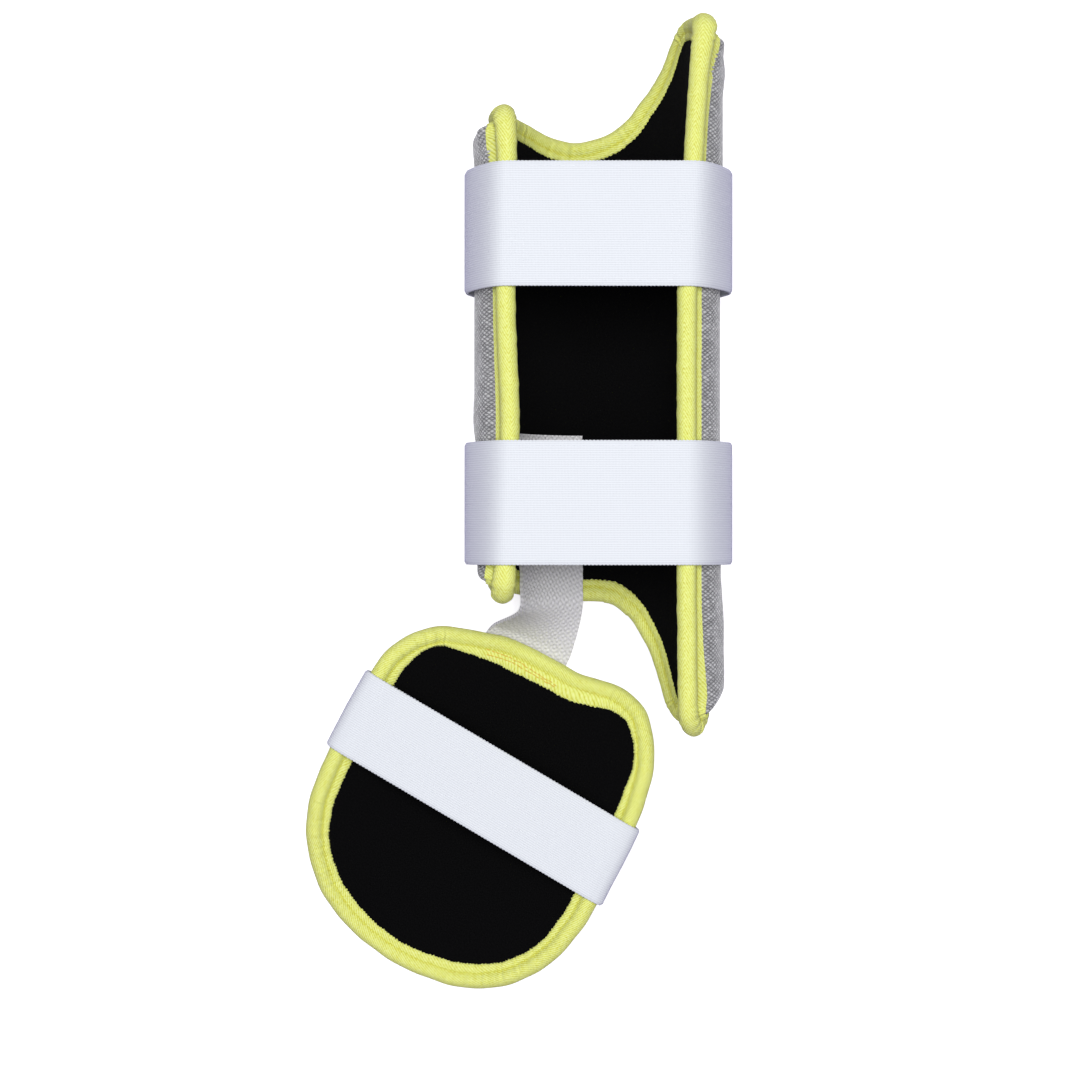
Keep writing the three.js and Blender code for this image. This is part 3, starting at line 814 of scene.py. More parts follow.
def shin_net(columns, rows):
    """Grid of pattern points over the shin, inside its tape, and their distance from the bound edge."""
    raw = shin_outline()
    ring = raw + PAD_EDGE * inward(raw)
    count = len(shin_edges()[0])
    low = ring[:count]
    high = ring[count + len(SIDE_SHARES):][:count][::-1]
    knots = np.arange(count, dtype=float)
    at = np.linspace(0, count - 1, columns + 1)
    share = np.linspace(0, 1, rows + 1)
    share = (share - ROWS_TO_ENDS * np.sin(2 * math.pi * share))[None, :, None]
    points = hermite(knots, low, at)[:, None, :] * (1 - share) + hermite(knots, high, at)[:, None, :] * share
    inset = edge_distance(flowing(raw, SHIN_FINE, True), points.reshape(-1, 2))
    return points, inset.reshape(columns + 1, rows + 1)


def foot_net(columns, rows):
    """Grid of pattern points over the foot pad, inside its tape, and their distance from the bound edge."""
    fine = foot_rim()
    ring = fine + PAD_EDGE * inward(fine)
    turns = np.unwrap(np.arctan2(ring[:, 1], ring[:, 0]))
    a, b = np.meshgrid(np.linspace(-1, 1, columns + 1), np.linspace(-1, 1, rows + 1), indexing="ij")
    wide = np.abs(a) >= np.abs(b)
    reach = np.where(wide, np.abs(a), np.abs(b))
    safe = np.where(reach > 0, reach, 1)
    eighth = math.pi / 4
    turn = np.where(
        wide,
        np.where(a >= 0, eighth * b / safe, math.pi - eighth * b / safe),
        np.where(b >= 0, 2 * eighth - eighth * a / safe, -2 * eighth + eighth * a / safe),
    )
    turn = np.mod(turn - turns[0], 2 * math.pi) + turns[0]
    around = np.append(turns, turns[0] + 2 * math.pi)
    rim = [np.interp(turn, around, column) for column in np.vstack([ring, ring[:1]]).T]
    points = np.stack(rim, axis=-1) * reach[..., None]
    inset = edge_distance(fine, points.reshape(-1, 2))
    return points, inset.reshape(columns + 1, rows + 1)


def profile(table):
    """Height over a pad's pattern by the distance from its edge."""
    place, height = columns_of(table)
    return lambda inset, at: np.interp(inset, place, height)


def seam_at(height):
    return lambda inset, at: np.full(np.shape(inset), height)


def shin_cover_face():
    """Height of the shin cover's outer face: blunt ends, thicker beside the edges, fuller at corners."""
    plain = profile(COVER_PROFILE)
    place, left, right = columns_of(THICKER)
    top = shin_edges()[1]

    def raised(inset, at):
        girth, along = at.T
        past = inset - BLUNT_START
        full = plain(inset + BLUNT_STEEP * blunt_share(girth, along) * np.maximum(0, past), at)
        under_top = eased((np.interp(girth, *top.T) - along) / THICKER_TOP)
        at_left, at_right = np.interp(along, place, left), np.interp(along, place, right) * under_top
        thicker = np.where(girth < 0, at_left, at_right)
        thicker *= eased((np.abs(girth) - THICKER_FROM) / THICKER_FADE) * eased(past / BLUNT_START)
        fuller = FULLER_PAD * fuller_share(at, TAPE_INNER_WIDTH)
        return full * (1 + thicker) * (1 + fuller * eased((FULLER_INSET - inset) / FULLER_FADE))

    return raised


def pad_wall(name, net, form, outer, inner):
    """Closed wall over a pattern net; returns it with its points' distances from the edge and layers."""
    points, inset = net
    columns, rows = inset.shape[0] - 1, inset.shape[1] - 1
    piece = start_grid(name, columns, rows, True)
    column, row, layer = lattice(piece, columns, rows)
    at = points[column, row]
    far = inset[column, row]
    height = np.where(layer == 1, outer(far, at), inner(far, at))
    place_points(piece, form(*at.T, height))
    lay_pattern(piece, *at.T * MM)
    face_outwards(piece)
    return piece, far, layer


def padded_cover(pad, net, form, outer, sizes, material):
    """Stuffed outer cloth of a pad."""
    piece, far, layer = pad_wall(f"{pad}_pad_cover", net, form, outer, seam_at(COVER_SEAM))
    held = np.where(layer == 0, 1.0, np.clip((SWELL_FREE - far) / SWELL_FADE, 0, 1))
    swell(piece, held, sizes.swell_pressure, sizes.swell_limit)
    rounder = piece.modifiers.new("Rounder", "SUBSURF")
    rounder.levels = rounder.render_levels = 1
    apply_modifier(piece, rounder)
    smooth(piece, PAD_SMOOTH)
    dress(piece, material, "cover_cloth", f"{pad}_cover")


def lined_face(pad, net, form, material):
    """Thin pile cloth on the inner face of a pad."""
    piece = pad_wall(f"{pad}_pad_lining", net, form, seam_at(LINING_SEAM), profile(LINING_PROFILE))[0]
    smooth(piece, PAD_SMOOTH)
    dress(piece, material, "lining_pile", f"{pad}_lining")


# Edge tape

# What changes along a tape, at each station: widening of the inner flange, flare of the outer one, place in
# the overlap, blunt end and fullness.
TapeFit = namedtuple("TapeFit", "widening flare joint blunt fuller")


def shin_tape_fit(outline):
    x, y = outline.T
    bottom, top = shin_edges()
    side = np.abs(x) > SHIN_HALF_GIRTH - SIDE_MARGIN
    flare = np.zeros(len(outline))
    for across, along in (bottom[0], bottom[-1], top[0], top[-1]):
        same = side & (np.sign(x) == np.sign(across))
        most = FLANGE_FLARE_UPPER_LEFT if across < 0 < along else FLANGE_FLARE
        flare = np.maximum(flare, same * most * np.exp(-((y - along) / FLANGE_FLARE_LENGTH) ** 2))
    joint = (y < 0) * np.clip((x - TAPE_JOINT) / TAPE_JOINT_LENGTH, 0, 1)
    blunt = blunt_share(*(outline + TAPE_INNER_WIDTH * inward(outline)).T)
    return TapeFit(np.zeros(len(outline)), evened(flare), joint, evened(blunt), fuller_share(outline, 0))


def foot_tape_fit(outline):
    turn = np.mod(np.arctan2(outline[:, 1], outline[:, 0]), 2 * math.pi)
    around = np.linspace(0, 2 * math.pi, len(FOOT_TAPE_WIDTH) + 1)
    width = hermite(around, FOOT_TAPE_WIDTH + FOOT_TAPE_WIDTH[:1], turn)
    none = np.zeros(len(outline))
    return TapeFit(width - TAPE_INNER_WIDTH, none, none, none, none)


def tape_surface(section, outside, run, bend, fit, sizes, rng):
    """Distance from the edge and height of the tape's section at each station, with all its unevenness."""
    inset, height = (np.repeat(column[None, :], len(run), axis=0) for column in section.T)
    inner = section[None, :, 1] < 0
    widening, flare, joint, blunt, fuller = (change[:, None] for change in fit)
    tooth = np.abs(np.sin(math.pi * run / sizes.tape_tooth * MM))
    tooth *= 1 + TOOTH_UNEVEN * waves(run, rng, TOOTH_WAVES)
    flange = np.clip((inset - FLANGE_START) / FLANGE_FADE, 0, 1)
    inset += flange * (inner * widening + sizes.tape_tooth_depth / MM * (tooth[:, None] - 0.5))
    inset += flange * ~inner * flare
    height += flange * ~inner * FLANGE_FLARE_RISE * flare
    beyond = ~inner * np.maximum(0, inset - TAPE_GROOVE)
    height += blunt * BLUNT_RISE * beyond / (TAPE_PROFILE[-1][0] - TAPE_GROOVE)
    inset -= blunt * BLUNT_FLANGE * beyond
    roll = ROLL_UNEVEN * waves(run, rng, ROLL_WAVES)[:, None] * np.clip(1 - inset / ROLL_REACH, 0, 1)
    height *= (1 + roll) * (1 + ~inner * fuller)
    crease = waves(run + CREASE_SWAY * waves(run, rng, CREASE_SWAY_WAVES), rng, CREASE_WAVES)
    loose = np.clip(inset / PUCKER_FADE, 0, 1) * np.clip((PUCKER_END - inset) / PUCKER_FADE, 0, 1)
    height += np.sign(height) * PUCKER_HEIGHT * (bend * crease)[:, None] * loose
    doubled = outside * np.clip(np.minimum(joint, 1 - joint) * TAPE_JOINT_LENGTH / TAPE_JOINT_FADE, 0, 1)
    height += np.sign(height) * TAPE_JOINT_HEIGHT * doubled * np.clip(np.abs(height) / TAPE_JOINT_FULL, 0, 1)
    inset -= TAPE_JOINT_OUT * doubled
    inset += EDGE_UNEVEN * waves(run, rng, EDGE_WAVES)[:, None]
    return inset, height


def tape_ring(pad, outline, form, fit, sizes, material, rng):
    """Tape folded over a pad's whole edge: roll, sewn groove, toothed flange, and puckers where it bends."""
    perimeter = perimeter_of(outline)
    stations = len(outline)
    step = perimeter / stations
    outer = flowing(TAPE_PROFILE, TAPE_POINTS)
    section = np.vstack([outer, TAPE_BACK])
    size = len(section)
    bend = np.clip(edge_bend(outline, step) / PUCKER_BEND, PUCKER_LEAST, 1)
    outside = np.arange(size) < len(outer)
    inset, height = tape_surface(section, outside, np.arange(stations) * step, bend, fit, sizes, rng)
    normals = inward(outline)
    normals = unit(sum(np.roll(normals, k, axis=0) for k in range(-EVENED_NORMALS, EVENED_NORMALS + 1)))
    at = outline[:, None, :] + normals[:, None, :] * inset[..., None]
    points = form(*at.reshape(-1, 2).T, height.ravel()).reshape(stations, size, 3)
    piece = start_grid(f"{pad}_edge_tape", stations, size, False)
    station, spot, _ = lattice(piece, stations, size)
    place_points(piece, points[station % stations, spot % size])
    over = lengths_along(np.vstack([section, section[:1]]))
    fold = over[np.argmin(np.abs(outer).sum(axis=1))]
    lay_pattern(piece, station * step * MM, (over[spot] - fold) * MM)
    face_outwards(piece, merge=True)
    smooth(piece, TAPE_SMOOTH)
    dress(piece, material, "binding_tape", f"{pad}_binding")
    return piece, (lengths_along(outer)[-1] * MM, perimeter * MM)


def tape_stitches(pad, outline, form, sizes, material):
    """Stitches in the tape's groove on both faces of a pad."""
    count = int(perimeter_of(outline) * MM / sizes.stitch_pitch)
    line = flowing(outline[::max(1, len(outline) // STITCH_LINE_POINTS)], count, True)
    at = line + TAPE_GROOVE * inward(line)
    length = sizes.stitch_pitch * TAPE_STITCH_SHARE
    rows = []
    for face, side, level in (("inner", -1, GROOVE_LEVEL_INNER), ("outer", 1, GROOVE_LEVEL_OUTER)):
        low = form(*at.T, side * (level + TAPE_STITCH_LIFT))
        high = form(*at.T, side * (level + 1))
        along = np.roll(low, -1, axis=0) - np.roll(low, 1, axis=0)
        rows.append(sew(f"{pad}_stitches_{face}", low, along, high - low, length, sizes.stitch_width,
                        material, "binding_tape"))
    return rows


def seat_stitches(outline, form, material):
    """Uneven rows of thread over the flange where the webbing is sewn under the foot pad."""
    near = (np.abs(outline[:, 0] - WEBBING_FOOT_U) < SEAT_HALF) & (outline[:, 1] > 0)
    edge, normals = outline[near], inward(outline)[near]
    share = np.linspace(0, 1, len(edge))[:, None]
    rng = np.random.default_rng(SEED + 1)
    places, lies, ups = [], [], []
    for right, left in SEAT_ROWS:
        inset = right + (left - right) * share
        line = flowing(np.hstack([edge + inset * normals, inset]), int(2 * SEAT_HALF / SEAT_PITCH))
        line[:, 1:] += rng.uniform(-SEAT_STRAY_OUT, SEAT_STRAY_OUT, (len(line), 1))
        line[:, 0] += rng.uniform(-SEAT_STRAY_ALONG, SEAT_STRAY_ALONG, len(line))
        level = SEAT_LIFT + np.interp(line[:, 2], *SEAT_FACE)
        low = form(line[:, 0], line[:, 1], -level)
        places.append(low)
        lies.append(np.gradient(low, axis=0))
        ups.append(form(line[:, 0], line[:, 1], -level - 1) - low)
    return sew("foot_seat_stitches", np.vstack(places), np.vstack(lies), np.vstack(ups), SEAT_PITCH * MM,
               SEAT_THREAD * MM, material, "binding_tape")


# Bands and webbing

def band_faces(rows, thickness):
    """Under and upper face of a band from rows of points across it."""
    normal = unit(np.cross(np.gradient(rows, axis=1), np.gradient(rows, axis=0)))
    return rows, rows + normal * thickness[..., None]


def band_piece(name, node, under, upper, width, length, material, slot):
    """Closed band between two faces, columns across it and rows along it."""
    columns, rows = under.shape[0] - 1, under.shape[1] - 1
    piece = start_grid(name, columns, rows, True)
    column, row, layer = lattice(piece, columns, rows)
    place_points(piece, np.where((layer == 1)[:, None], upper[column, row], under[column, row]))
    lay_pattern(piece, row / rows * length, column / columns * width)
    face_outwards(piece)
    smooth(piece, BAND_SMOOTH)
    return dress(piece, material, slot, node)


def band_edges(columns, rows, length, sizes):
    """Widening of a band's rows into small loops along both its edges, and its thinner edges."""
    share = np.linspace(-1, 1, columns + 1)[:, None]
    run = np.linspace(0, length, rows + 1)[None, :]
    loop = np.abs(np.sin(math.pi * run / sizes.band_loop))
    outermost = np.sign(share) * np.clip((np.abs(share) - LOOP_FROM) / (1 - LOOP_FROM), 0, 1)
    thin = 1 - THIN_SHARE * np.clip((np.abs(share) - THIN_FROM) / (1 - THIN_FROM), 0, 1) ** 2
    return outermost * (loop - 0.5) * sizes.band_loop_depth, np.repeat(thin, rows + 1, axis=1)


def elastic_band(name, node, paths, width, sizes, material):
    """Band along a row of paths, from sewn end to sewn end; returns its upper face and its length."""
    length = lengths_along(flowing(paths[len(paths) // 2], BAND_FINE))[-1]
    rows = int(length / sizes.band_step)
    lines = np.stack([flowing(path, rows + 1) for path in paths])
    at = np.linspace(0, len(paths) - 1, BAND_COLUMNS + 1)
    low = np.minimum(at.astype(int), len(paths) - 2)
    mix = (at - low)[:, None, None]
    grid = lines[low] * (1 - mix) + lines[low + 1] * mix
    outwards, thin = band_edges(BAND_COLUMNS, rows, length, sizes)
    grid = grid + unit(np.gradient(grid, axis=0)) * outwards[..., None]
    under, upper = band_faces(grid, sizes.band_thickness * thin)
    piece = band_piece(name, node, under, upper, width, length, material, "elastic")
    return upper, length


def end_stitches(name, upper, length, width, sizes, material):
    """Box of stitches that holds each end of a band."""
    columns, rows = upper.shape[0] - 1, upper.shape[1] - 1
    near, far = BAND_END_MARGIN, width - BAND_END_MARGIN
    spots, crosswise = [], []
    for start, step in ((BAND_END_MARGIN, BAND_END_DEPTH), (length - BAND_END_MARGIN, -BAND_END_DEPTH)):
        end = start + step
        box = [(near, start), (far, start), (far, end), (near, end), (near, start)]
        for (c0, r0), (c1, r1) in zip(box, box[1:]):
            count = max(2, int(math.hypot(c1 - c0, r1 - r0) / sizes.stitch_pitch))
            share = (np.arange(count) + 0.5) / count
            spots.append(np.column_stack([c0 + share * (c1 - c0), r0 + share * (r1 - r0)]))
            crosswise += [r0 == r1] * count
    across, along = np.vstack(spots).T
    column, row = (across / width * columns).astype(int), (along / length * rows).astype(int)
    places = upper[column, row]
    ahead, aside = upper[column, row + 1] - places, upper[column + 1, row] - places
    ups = unit(np.cross(ahead, aside))
    lies = np.where(np.array(crosswise)[:, None], aside, ahead)
    sew(name, places + ups * BAND_STITCH_LIFT, lies, ups, sizes.stitch_pitch * BAND_STITCH_SHARE,
        sizes.stitch_width, material, "elastic")


def taut_path(left, right):
    """Path of a band from its left half over the taut span to its right half."""
    span = [left[-1] + share * (right[-1] - left[-1]) for share in BAND_SPAN]
    return np.vstack([left, span, right[::-1]])


def shin_band_half(along, side):
    """Path of a shin band at one side: seated on the cover, then free up to the bound edge."""
    inset, height = columns_of(SHIN_BAND_SEAT)
    seated = shin_form(side * (SHIN_HALF_GIRTH - inset), along, height)
    spots = np.array([side * SHIN_HALF_GIRTH, side * SHIN_RADIUS * math.pi / 2])
    edge, wide = shin_form(spots, along, np.array([0, BAND_WIDEST]))
    edge[2] += (BAND_LIFT + BAND_LIFT_PER_DEGREE * shin_lean(side, along)) * MM
    out, down = columns_of(BAND_BULGE)
    share = np.column_stack([out, np.zeros(len(out)), down])
    return np.vstack([seated, edge + share * (wide - edge)])


def shin_band_paths(middle, width):
    places = middle + np.linspace(-0.5, 0.5, SHIN_BAND_LINES) * width / MM
    return [taut_path(shin_band_half(along, -1), shin_band_half(along, 1)) for along in places]


def foot_crossing(outline, level, side, axis=0):
    """Place where the foot's outline crosses a level, on one side."""
    here, across = outline[:, axis], outline[:, 1 - axis]
    after, beyond = np.roll(here, -1), np.roll(across, -1)
    hits = (across - level) * (beyond - level) <= 0
    share = (level - across[hits]) / (beyond[hits] - across[hits])
    return (side * (here[hits] + share * (after[hits] - here[hits]))).max() * side


def foot_band_paths(middle, width):
    outline = foot_rim()
    inset, height = columns_of(FOOT_BAND_FOLDS)
    paths = []
    for level in middle + np.linspace(-0.5, 0.5, FOOT_BAND_LINES) * width / MM:
        left, right = (foot_form(foot_crossing(outline, level, side) - side * inset, level, height)
                       for side in (-1, 1))
        paths.append(taut_path(left, right))
    return paths


def webbing_rows(width):
    """Lines along the webbing's under face, from its sewn end in the shin to its seat under the foot pad."""
    shares = np.linspace(0, 1, WEBBING_COLUMNS + 1)
    girth = (WEBBING_RIGHT_EDGE - (1 - shares) * width / MM) * SHIN_RADIUS / (SHIN_RADIUS - LINING_FACE)
    inside = [shin_form(girth, along, -LINING_FACE - lift) for along, lift in WEBBING_RUN]
    foot_girth = WEBBING_FOOT_U + (shares - 0.5) * width / MM
    outline = foot_rim()
    top = np.array([foot_crossing(outline, value, 1, axis=1) for value in foot_girth])

    def seat(inset):
        return foot_form(foot_girth, top - inset, WEBBING_UNDER)

    leaving, landing, seated = inside[-1], seat(-WEBBING_LEAD), seat(WEBBING_SEAT)
    reach = np.linalg.norm(landing - leaving, axis=1)[:, None] / 3
    second = leaving + reach * np.array(WEBBING_LEAVES)
    third = landing - unit(seated - landing) * reach * WEBBING_LANDS
    free = []
    for step in range(1, WEBBING_FREE_STEPS):
        t = step / WEBBING_FREE_STEPS
        free.append((1 - t) ** 3 * leaving + 3 * t * (1 - t) ** 2 * second
                    + 3 * t * t * (1 - t) * third + t**3 * landing)
    return np.stack(inside + free + [landing, seat(WEBBING_SEAT / 2), seated], axis=1)


def dotted_thickness(length, rows, sizes):
    """Thickness of the webbing over its net, with the raised dots."""
    across = np.linspace(0, sizes.webbing_width, WEBBING_COLUMNS + 1)[:, None]
    along = np.linspace(0, length, rows + 1)[None, :]
    dots = np.cos(2 * math.pi * across / sizes.webbing_dot_across)
    dots = dots * np.cos(2 * math.pi * along / sizes.webbing_dot_along)
    return sizes.webbing_thickness + sizes.webbing_dot_height * np.maximum(dots, WEBBING_DENT)


# Sizes and colours

def length_property(name, description, value, least, most):
    return FloatProperty(name=name, description=description, default=value, min=least, max=most,
                         unit="LENGTH", precision=5)


def colour_property(name, description, value):
    return FloatVectorProperty(name=name, description=description, default=value, min=0, max=1,
                               subtype="COLOR")


class GuardSizes(bpy.types.PropertyGroup):
    """Sizes of the guard's cloth and its details"""

    cover_cell_width: length_property("Cell width", "Width of the cells in the cover's weave",
                                      0.0025, 0.0005, 0.005)
    cover_cell_height: length_property("Cell height", "Height of the cells in the cover's weave",
                                       0.002, 0.0005, 0.005)
    swell_pressure: FloatProperty(name="Swell pressure", description="Pressure that fills the covers",
                                  default=8.0, min=0.0, max=20.0)
    swell_limit: length_property("Swell limit", "Most that the covers may swell by", 0.0012, 0.0, 0.005)
    pile_fineness: FloatProperty(name="Pile fineness", description="Tufts of the lining's pile per metre",
                                 default=1600.0, min=200.0, max=5000.0)
    tape_rib: length_property("Tape rib", "Distance between the tape's twill ribs", 0.0011, 0.0005, 0.004)
    tape_rib_slant: FloatProperty(name="Tape rib slant", description="Slant of the tape's ribs, in degrees",
                                  default=30.0, min=10.0, max=90.0)
    tape_step: length_property("Tape step", "Step length along the modelled tape", 0.0006, 0.0003, 0.003)
    tape_tooth: length_property("Tape tooth", "Distance between the tape's teeth", 0.002, 0.001, 0.005)
    tape_tooth_depth: length_property("Tooth depth", "Depth of the tape's teeth", 0.0006, 0.0, 0.002)
    stitch_pitch: length_property("Stitch pitch", "Distance from stitch to stitch", 0.003, 0.001, 0.01)
    stitch_width: length_property("Stitch width", "Thickness of the sewing thread", 0.0006, 0.0002, 0.002)
    band_width: length_property("Band width", "Width of the elastic over the open back", 0.06, 0.02, 0.08)
    foot_band_width: length_property("Foot band width", "Width of the foot pad's elastic", 0.043, 0.02, 0.06)
    band_thickness: length_property("Band thickness", "Thickness of the elastic", 0.0018, 0.0008, 0.003)
    band_rib: length_property("Band rib", "Distance between the elastic's long ribs", 0.0011, 0.0005, 0.003)
    band_pick: length_property("Band pick", "Distance between the elastic's cross threads",
                               0.0007, 0.0003, 0.002)
    band_step: length_property("Band step", "Step length along the modelled bands", 0.0006, 0.0003, 0.003)
    band_loop: length_property("Band loop", "Distance of the loops on a band's edges", 0.0018, 0.001, 0.005)
    band_loop_depth: length_property("Loop depth", "Depth of the loops on a band's edges",
                                     0.0004, 0.0, 0.002)
    webbing_width: length_property("Webbing width", "Width of the link webbing", 0.043, 0.02, 0.06)
    webbing_thickness: length_property("Webbing thickness", "Thickness of the link webbing",
                                       0.0016, 0.0008, 0.003)
    webbing_dot_across: length_property("Dot across", "Distance of the dots across the webbing",
                                        0.0024, 0.001, 0.006)
    webbing_dot_along: length_property("Dot along", "Distance of every second row of dots along it",
                                       0.0042, 0.001, 0.01)
    webbing_dot_height: length_property("Dot height", "Height of the webbing's dots", 0.0005, 0.0, 0.001)


class GuardColours(bpy.types.PropertyGroup):
    """Colours of the guard's cloth and thread"""

    cover: colour_property("Cover", "Silver-grey woven cover", (0.405, 0.41, 0.395))
    lining: colour_property("Lining", "Black pile lining", (0.0026, 0.0026, 0.0027))
    binding: colour_property("Tape", "Lime-yellow edge tape", (0.775, 0.84, 0.185))
    elastic: colour_property("Elastic", "White elastic", (0.785, 0.825, 0.825))
    webbing: colour_property("Webbing", "Light grey webbing", (0.7, 0.695, 0.695))
    thread: colour_property("Tape thread", "Thread in the tape's groove", (0.7, 0.72, 0.09))
    seat_thread: colour_property("Seat thread", "Thread that holds the webbing", (0.82, 0.6, 0.08))
    band_thread: colour_property("Band thread", "Thread of the bands' sewn ends", (0.8, 0.81, 0.9))
    floor: colour_property("Floor", "Pale floor", (0.93, 0.93, 0.93))


class GuardStage(bpy.types.PropertyGroup):
    """Camera and light"""

    camera_height: length_property("Camera height", "Height of the camera over the floor", 1.104, 0.3, 5.0)
    lens: FloatProperty(name="Lens", description="Focal length in millimetres",
                        default=70.0, min=10, max=300)
    sky: FloatProperty(name="Sky", description="Strength of the even light from all round",
                       default=0.27, min=0, max=5)
    key: FloatProperty(name="Key", description="Power of the soft lights overhead, in watts",
                       default=47.5, min=0, max=500)


# Operators

def settings(context):
    return context.scene.guard_sizes, context.scene.guard_colours


class GUARD_OT_covers(bpy.types.Operator):
    """Model the padded outer covers of the shin shell and the foot pad"""

    bl_idname = "guard.covers"
    bl_label = "Padded covers"

    def execute(self, context):
        sizes, colours = settings(context)
        cloth = material_of("silver_weave", silver_weave, colours, sizes)
        padded_cover("shin", shin_net(*SHIN_COVER_NET), shin_form, shin_cover_face(), sizes, cloth)
        padded_cover("foot", foot_net(*FOOT_COVER_NET), foot_form, profile(COVER_PROFILE), sizes, cloth)
        return {"FINISHED"}


class GUARD_OT_linings(bpy.types.Operator):
    """Model the black linings of the shin shell and the foot pad"""

    bl_idname = "guard.linings"
    bl_label = "Linings"

    def execute(self, context):
        sizes, colours = settings(context)
        pile = material_of("black_pile", black_pile, colours, sizes)
        shin, foot = flowing(shin_outline(), SHIN_FLAT, True), flowing(foot_outline(), FOOT_FLAT, True)
        lined_face("shin", shin_net(*SHIN_LINING_NET), shin_form, pile)
        lined_face("foot", foot_net(*FOOT_LINING_NET), foot_form, pile)
        return {"FINISHED"}


class GUARD_OT_bindings(bpy.types.Operator):
    """Model the folded tape round both pads, with its stitches"""

    bl_idname = "guard.bindings"
    bl_label = "Edge tape"

    def execute(self, context):
        sizes, colours = settings(context)
        tape = material_of("lime_twill", lime_twill, colours, sizes)
        yellow = material_of("tape_thread", thread, "tape_thread", colours.thread)
        orange = material_of("seat_thread", thread, "seat_thread", colours.seat_thread)
        rng = np.random.default_rng(SEED)
        for pad, raw, form, tape_fit in (
            ("shin", shin_outline(), shin_form, shin_tape_fit),
            ("foot", foot_outline(), foot_form, foot_tape_fit),
        ):
            around = lengths_along(flowing(raw, EDGE_FINE, True))[-1]
            outline = flowing(raw, int(around * MM / sizes.tape_step), True)
            piece, flat = tape_ring(pad, outline, form, tape_fit(outline), sizes, tape, rng)
            stitches = tape_stitches(pad, outline, form, sizes, yellow)
            if pad == "foot":
                stitches.append(seat_stitches(outline, form, orange))
        return {"FINISHED"}


class GUARD_OT_bands(bpy.types.Operator):
    """Model the three elastic bands and the stitches of their ends"""

    bl_idname = "guard.bands"
    bl_label = "Elastic bands"

    def execute(self, context):
        sizes, colours = settings(context)
        elastic = material_of("white_elastic", white_elastic, colours, sizes)
        white = material_of("band_thread", thread, "band_thread", colours.band_thread)
        for place, pad, paths_at, middle, width in (
            ("upper", "shin", shin_band_paths, UPPER_BAND_Y, sizes.band_width),
            ("lower", "shin", shin_band_paths, LOWER_BAND_Y, sizes.band_width),
            ("foot", "foot", foot_band_paths, FOOT_BAND_Y, sizes.foot_band_width),
        ):
            paths = paths_at(middle, width)
            upper, length = elastic_band(f"{place}_band", f"{place}_strap", paths, width, sizes, elastic)
            end_stitches(f"{place}_band_stitches", upper, length, width, sizes, white)
        return {"FINISHED"}


class GUARD_OT_webbing(bpy.types.Operator):
    """Model the webbing that links the shin shell to the foot pad"""

    bl_idname = "guard.webbing"
    bl_label = "Link webbing"

    def execute(self, context):
        sizes, colours = settings(context)
        cloth = material_of("grey_webbing", grey_webbing, colours, sizes)
        width = sizes.webbing_width
        rough = webbing_rows(width)
        length = lengths_along(flowing(rough[WEBBING_COLUMNS // 2], BAND_FINE))[-1]
        rows = int(length / (WEBBING_STEP * MM))
        grid = np.stack([flowing(line, rows + 1) for line in rough])
        under, upper = band_faces(grid, dotted_thickness(length, rows, sizes))
        piece = band_piece("link_band", "link_webbing", under, upper, width, length, cloth, "webbing")
        return {"FINISHED"}


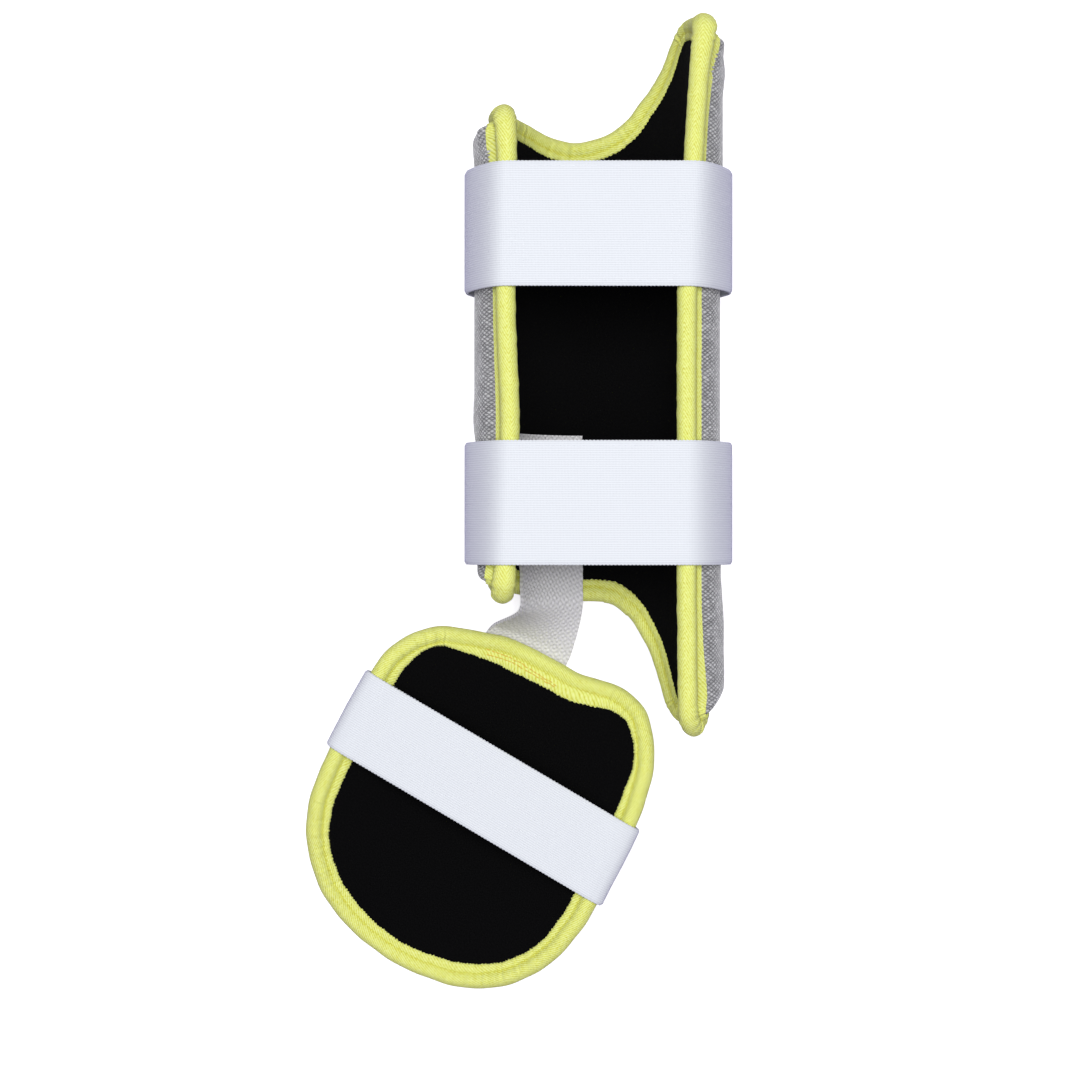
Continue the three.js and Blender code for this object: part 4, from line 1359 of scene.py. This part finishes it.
class GUARD_OT_stage(bpy.types.Operator):
    """Set the floor, the soft light and the camera"""

    bl_idname = "guard.stage"
    bl_label = "Stage"

    def execute(self, context):
        scene = context.scene
        stage = scene.guard_stage
        middle = np.array([PATTERN_X, PATTERN_Y, 0.0]) * MM
        self.lay_floor(context, scene.guard_colours.floor)
        world = bpy.data.worlds.new("sky")
        world.use_nodes = True
        sky = world.node_tree.nodes["Background"]
        sky.inputs["Color"].default_value = (*SKY_COLOUR, 1)
        sky.inputs["Strength"].default_value = stage.sky
        scene.world = world
        for name, offset, size, share in LIGHTS:
            self.hang_light(scene, name, middle, np.array(offset), size, stage.key * share)
        lens = bpy.data.cameras.new("photo_view")
        lens.lens = stage.lens
        lens.sensor_width = FILM_WIDTH
        camera = bpy.data.objects.new("photo_view", lens)
        scene.collection.objects.link(camera)
        camera.location = (middle[0], middle[1], stage.camera_height)
        scene.camera = camera
        scene.view_settings.view_transform = "Standard"
        return {"FINISHED"}

    def lay_floor(self, context, colour):
        bpy.ops.object.select_all(action="DESELECT")
        bpy.ops.mesh.primitive_plane_add(size=FLOOR_SIZE, location=(0, 0, 0))
        floor = context.object
        floor.name = floor.data.name = "floor"
        place_points(floor, points_of(floor) - (0, 0, FLOOR_DROP))
        floor.data.materials.append(material_of("pale_floor", pale_floor, colour))
        floor.visible_diffuse = False

    def hang_light(self, scene, name, middle, offset, size, power):
        """Adds a square light that points at the middle of the view."""
        light = bpy.data.lights.new(name, "AREA")
        light.energy = power
        light.size = size
        lamp = bpy.data.objects.new(name, light)
        scene.collection.objects.link(lamp)
        lamp.location = middle + offset
        x, y, z = offset
        lamp.rotation_euler = (math.atan2(math.hypot(x, y), z), 0, math.atan2(-y, -x) - math.pi / 2)


class GUARD_PT_panel(bpy.types.Panel):
    """Steps that model the guard, in order"""

    bl_idname = "GUARD_PT_panel"
    bl_label = "Batters foot guard"
    bl_space_type = "VIEW_3D"
    bl_region_type = "UI"
    bl_category = "Guard"

    def draw(self, context):
        for operator in OPERATORS:
            self.layout.operator(operator.bl_idname)
        for group in (*settings(context), context.scene.guard_stage):
            box = self.layout.box()
            for name in group.__annotations__:
                box.prop(group, name)


OPERATORS = (
    GUARD_OT_covers,
    GUARD_OT_linings,
    GUARD_OT_bindings,
    GUARD_OT_bands,
    GUARD_OT_webbing,
    GUARD_OT_stage,
)
CLASSES = (GuardSizes, GuardColours, GuardStage, *OPERATORS, GUARD_PT_panel)


def register():
    for item in CLASSES:
        bpy.utils.register_class(item)
    bpy.types.Scene.guard_sizes = PointerProperty(type=GuardSizes)
    bpy.types.Scene.guard_colours = PointerProperty(type=GuardColours)
    bpy.types.Scene.guard_stage = PointerProperty(type=GuardStage)


def unregister():
    del bpy.types.Scene.guard_stage
    del bpy.types.Scene.guard_colours
    del bpy.types.Scene.guard_sizes
    for item in reversed(CLASSES):
        bpy.utils.unregister_class(item)


def main():
    register()
    bpy.ops.guard.covers()
    bpy.ops.guard.linings()
    bpy.ops.guard.bindings()
    bpy.ops.guard.bands()
    bpy.ops.guard.webbing()
    bpy.ops.guard.stage()


if __name__ == "__main__":
    main()
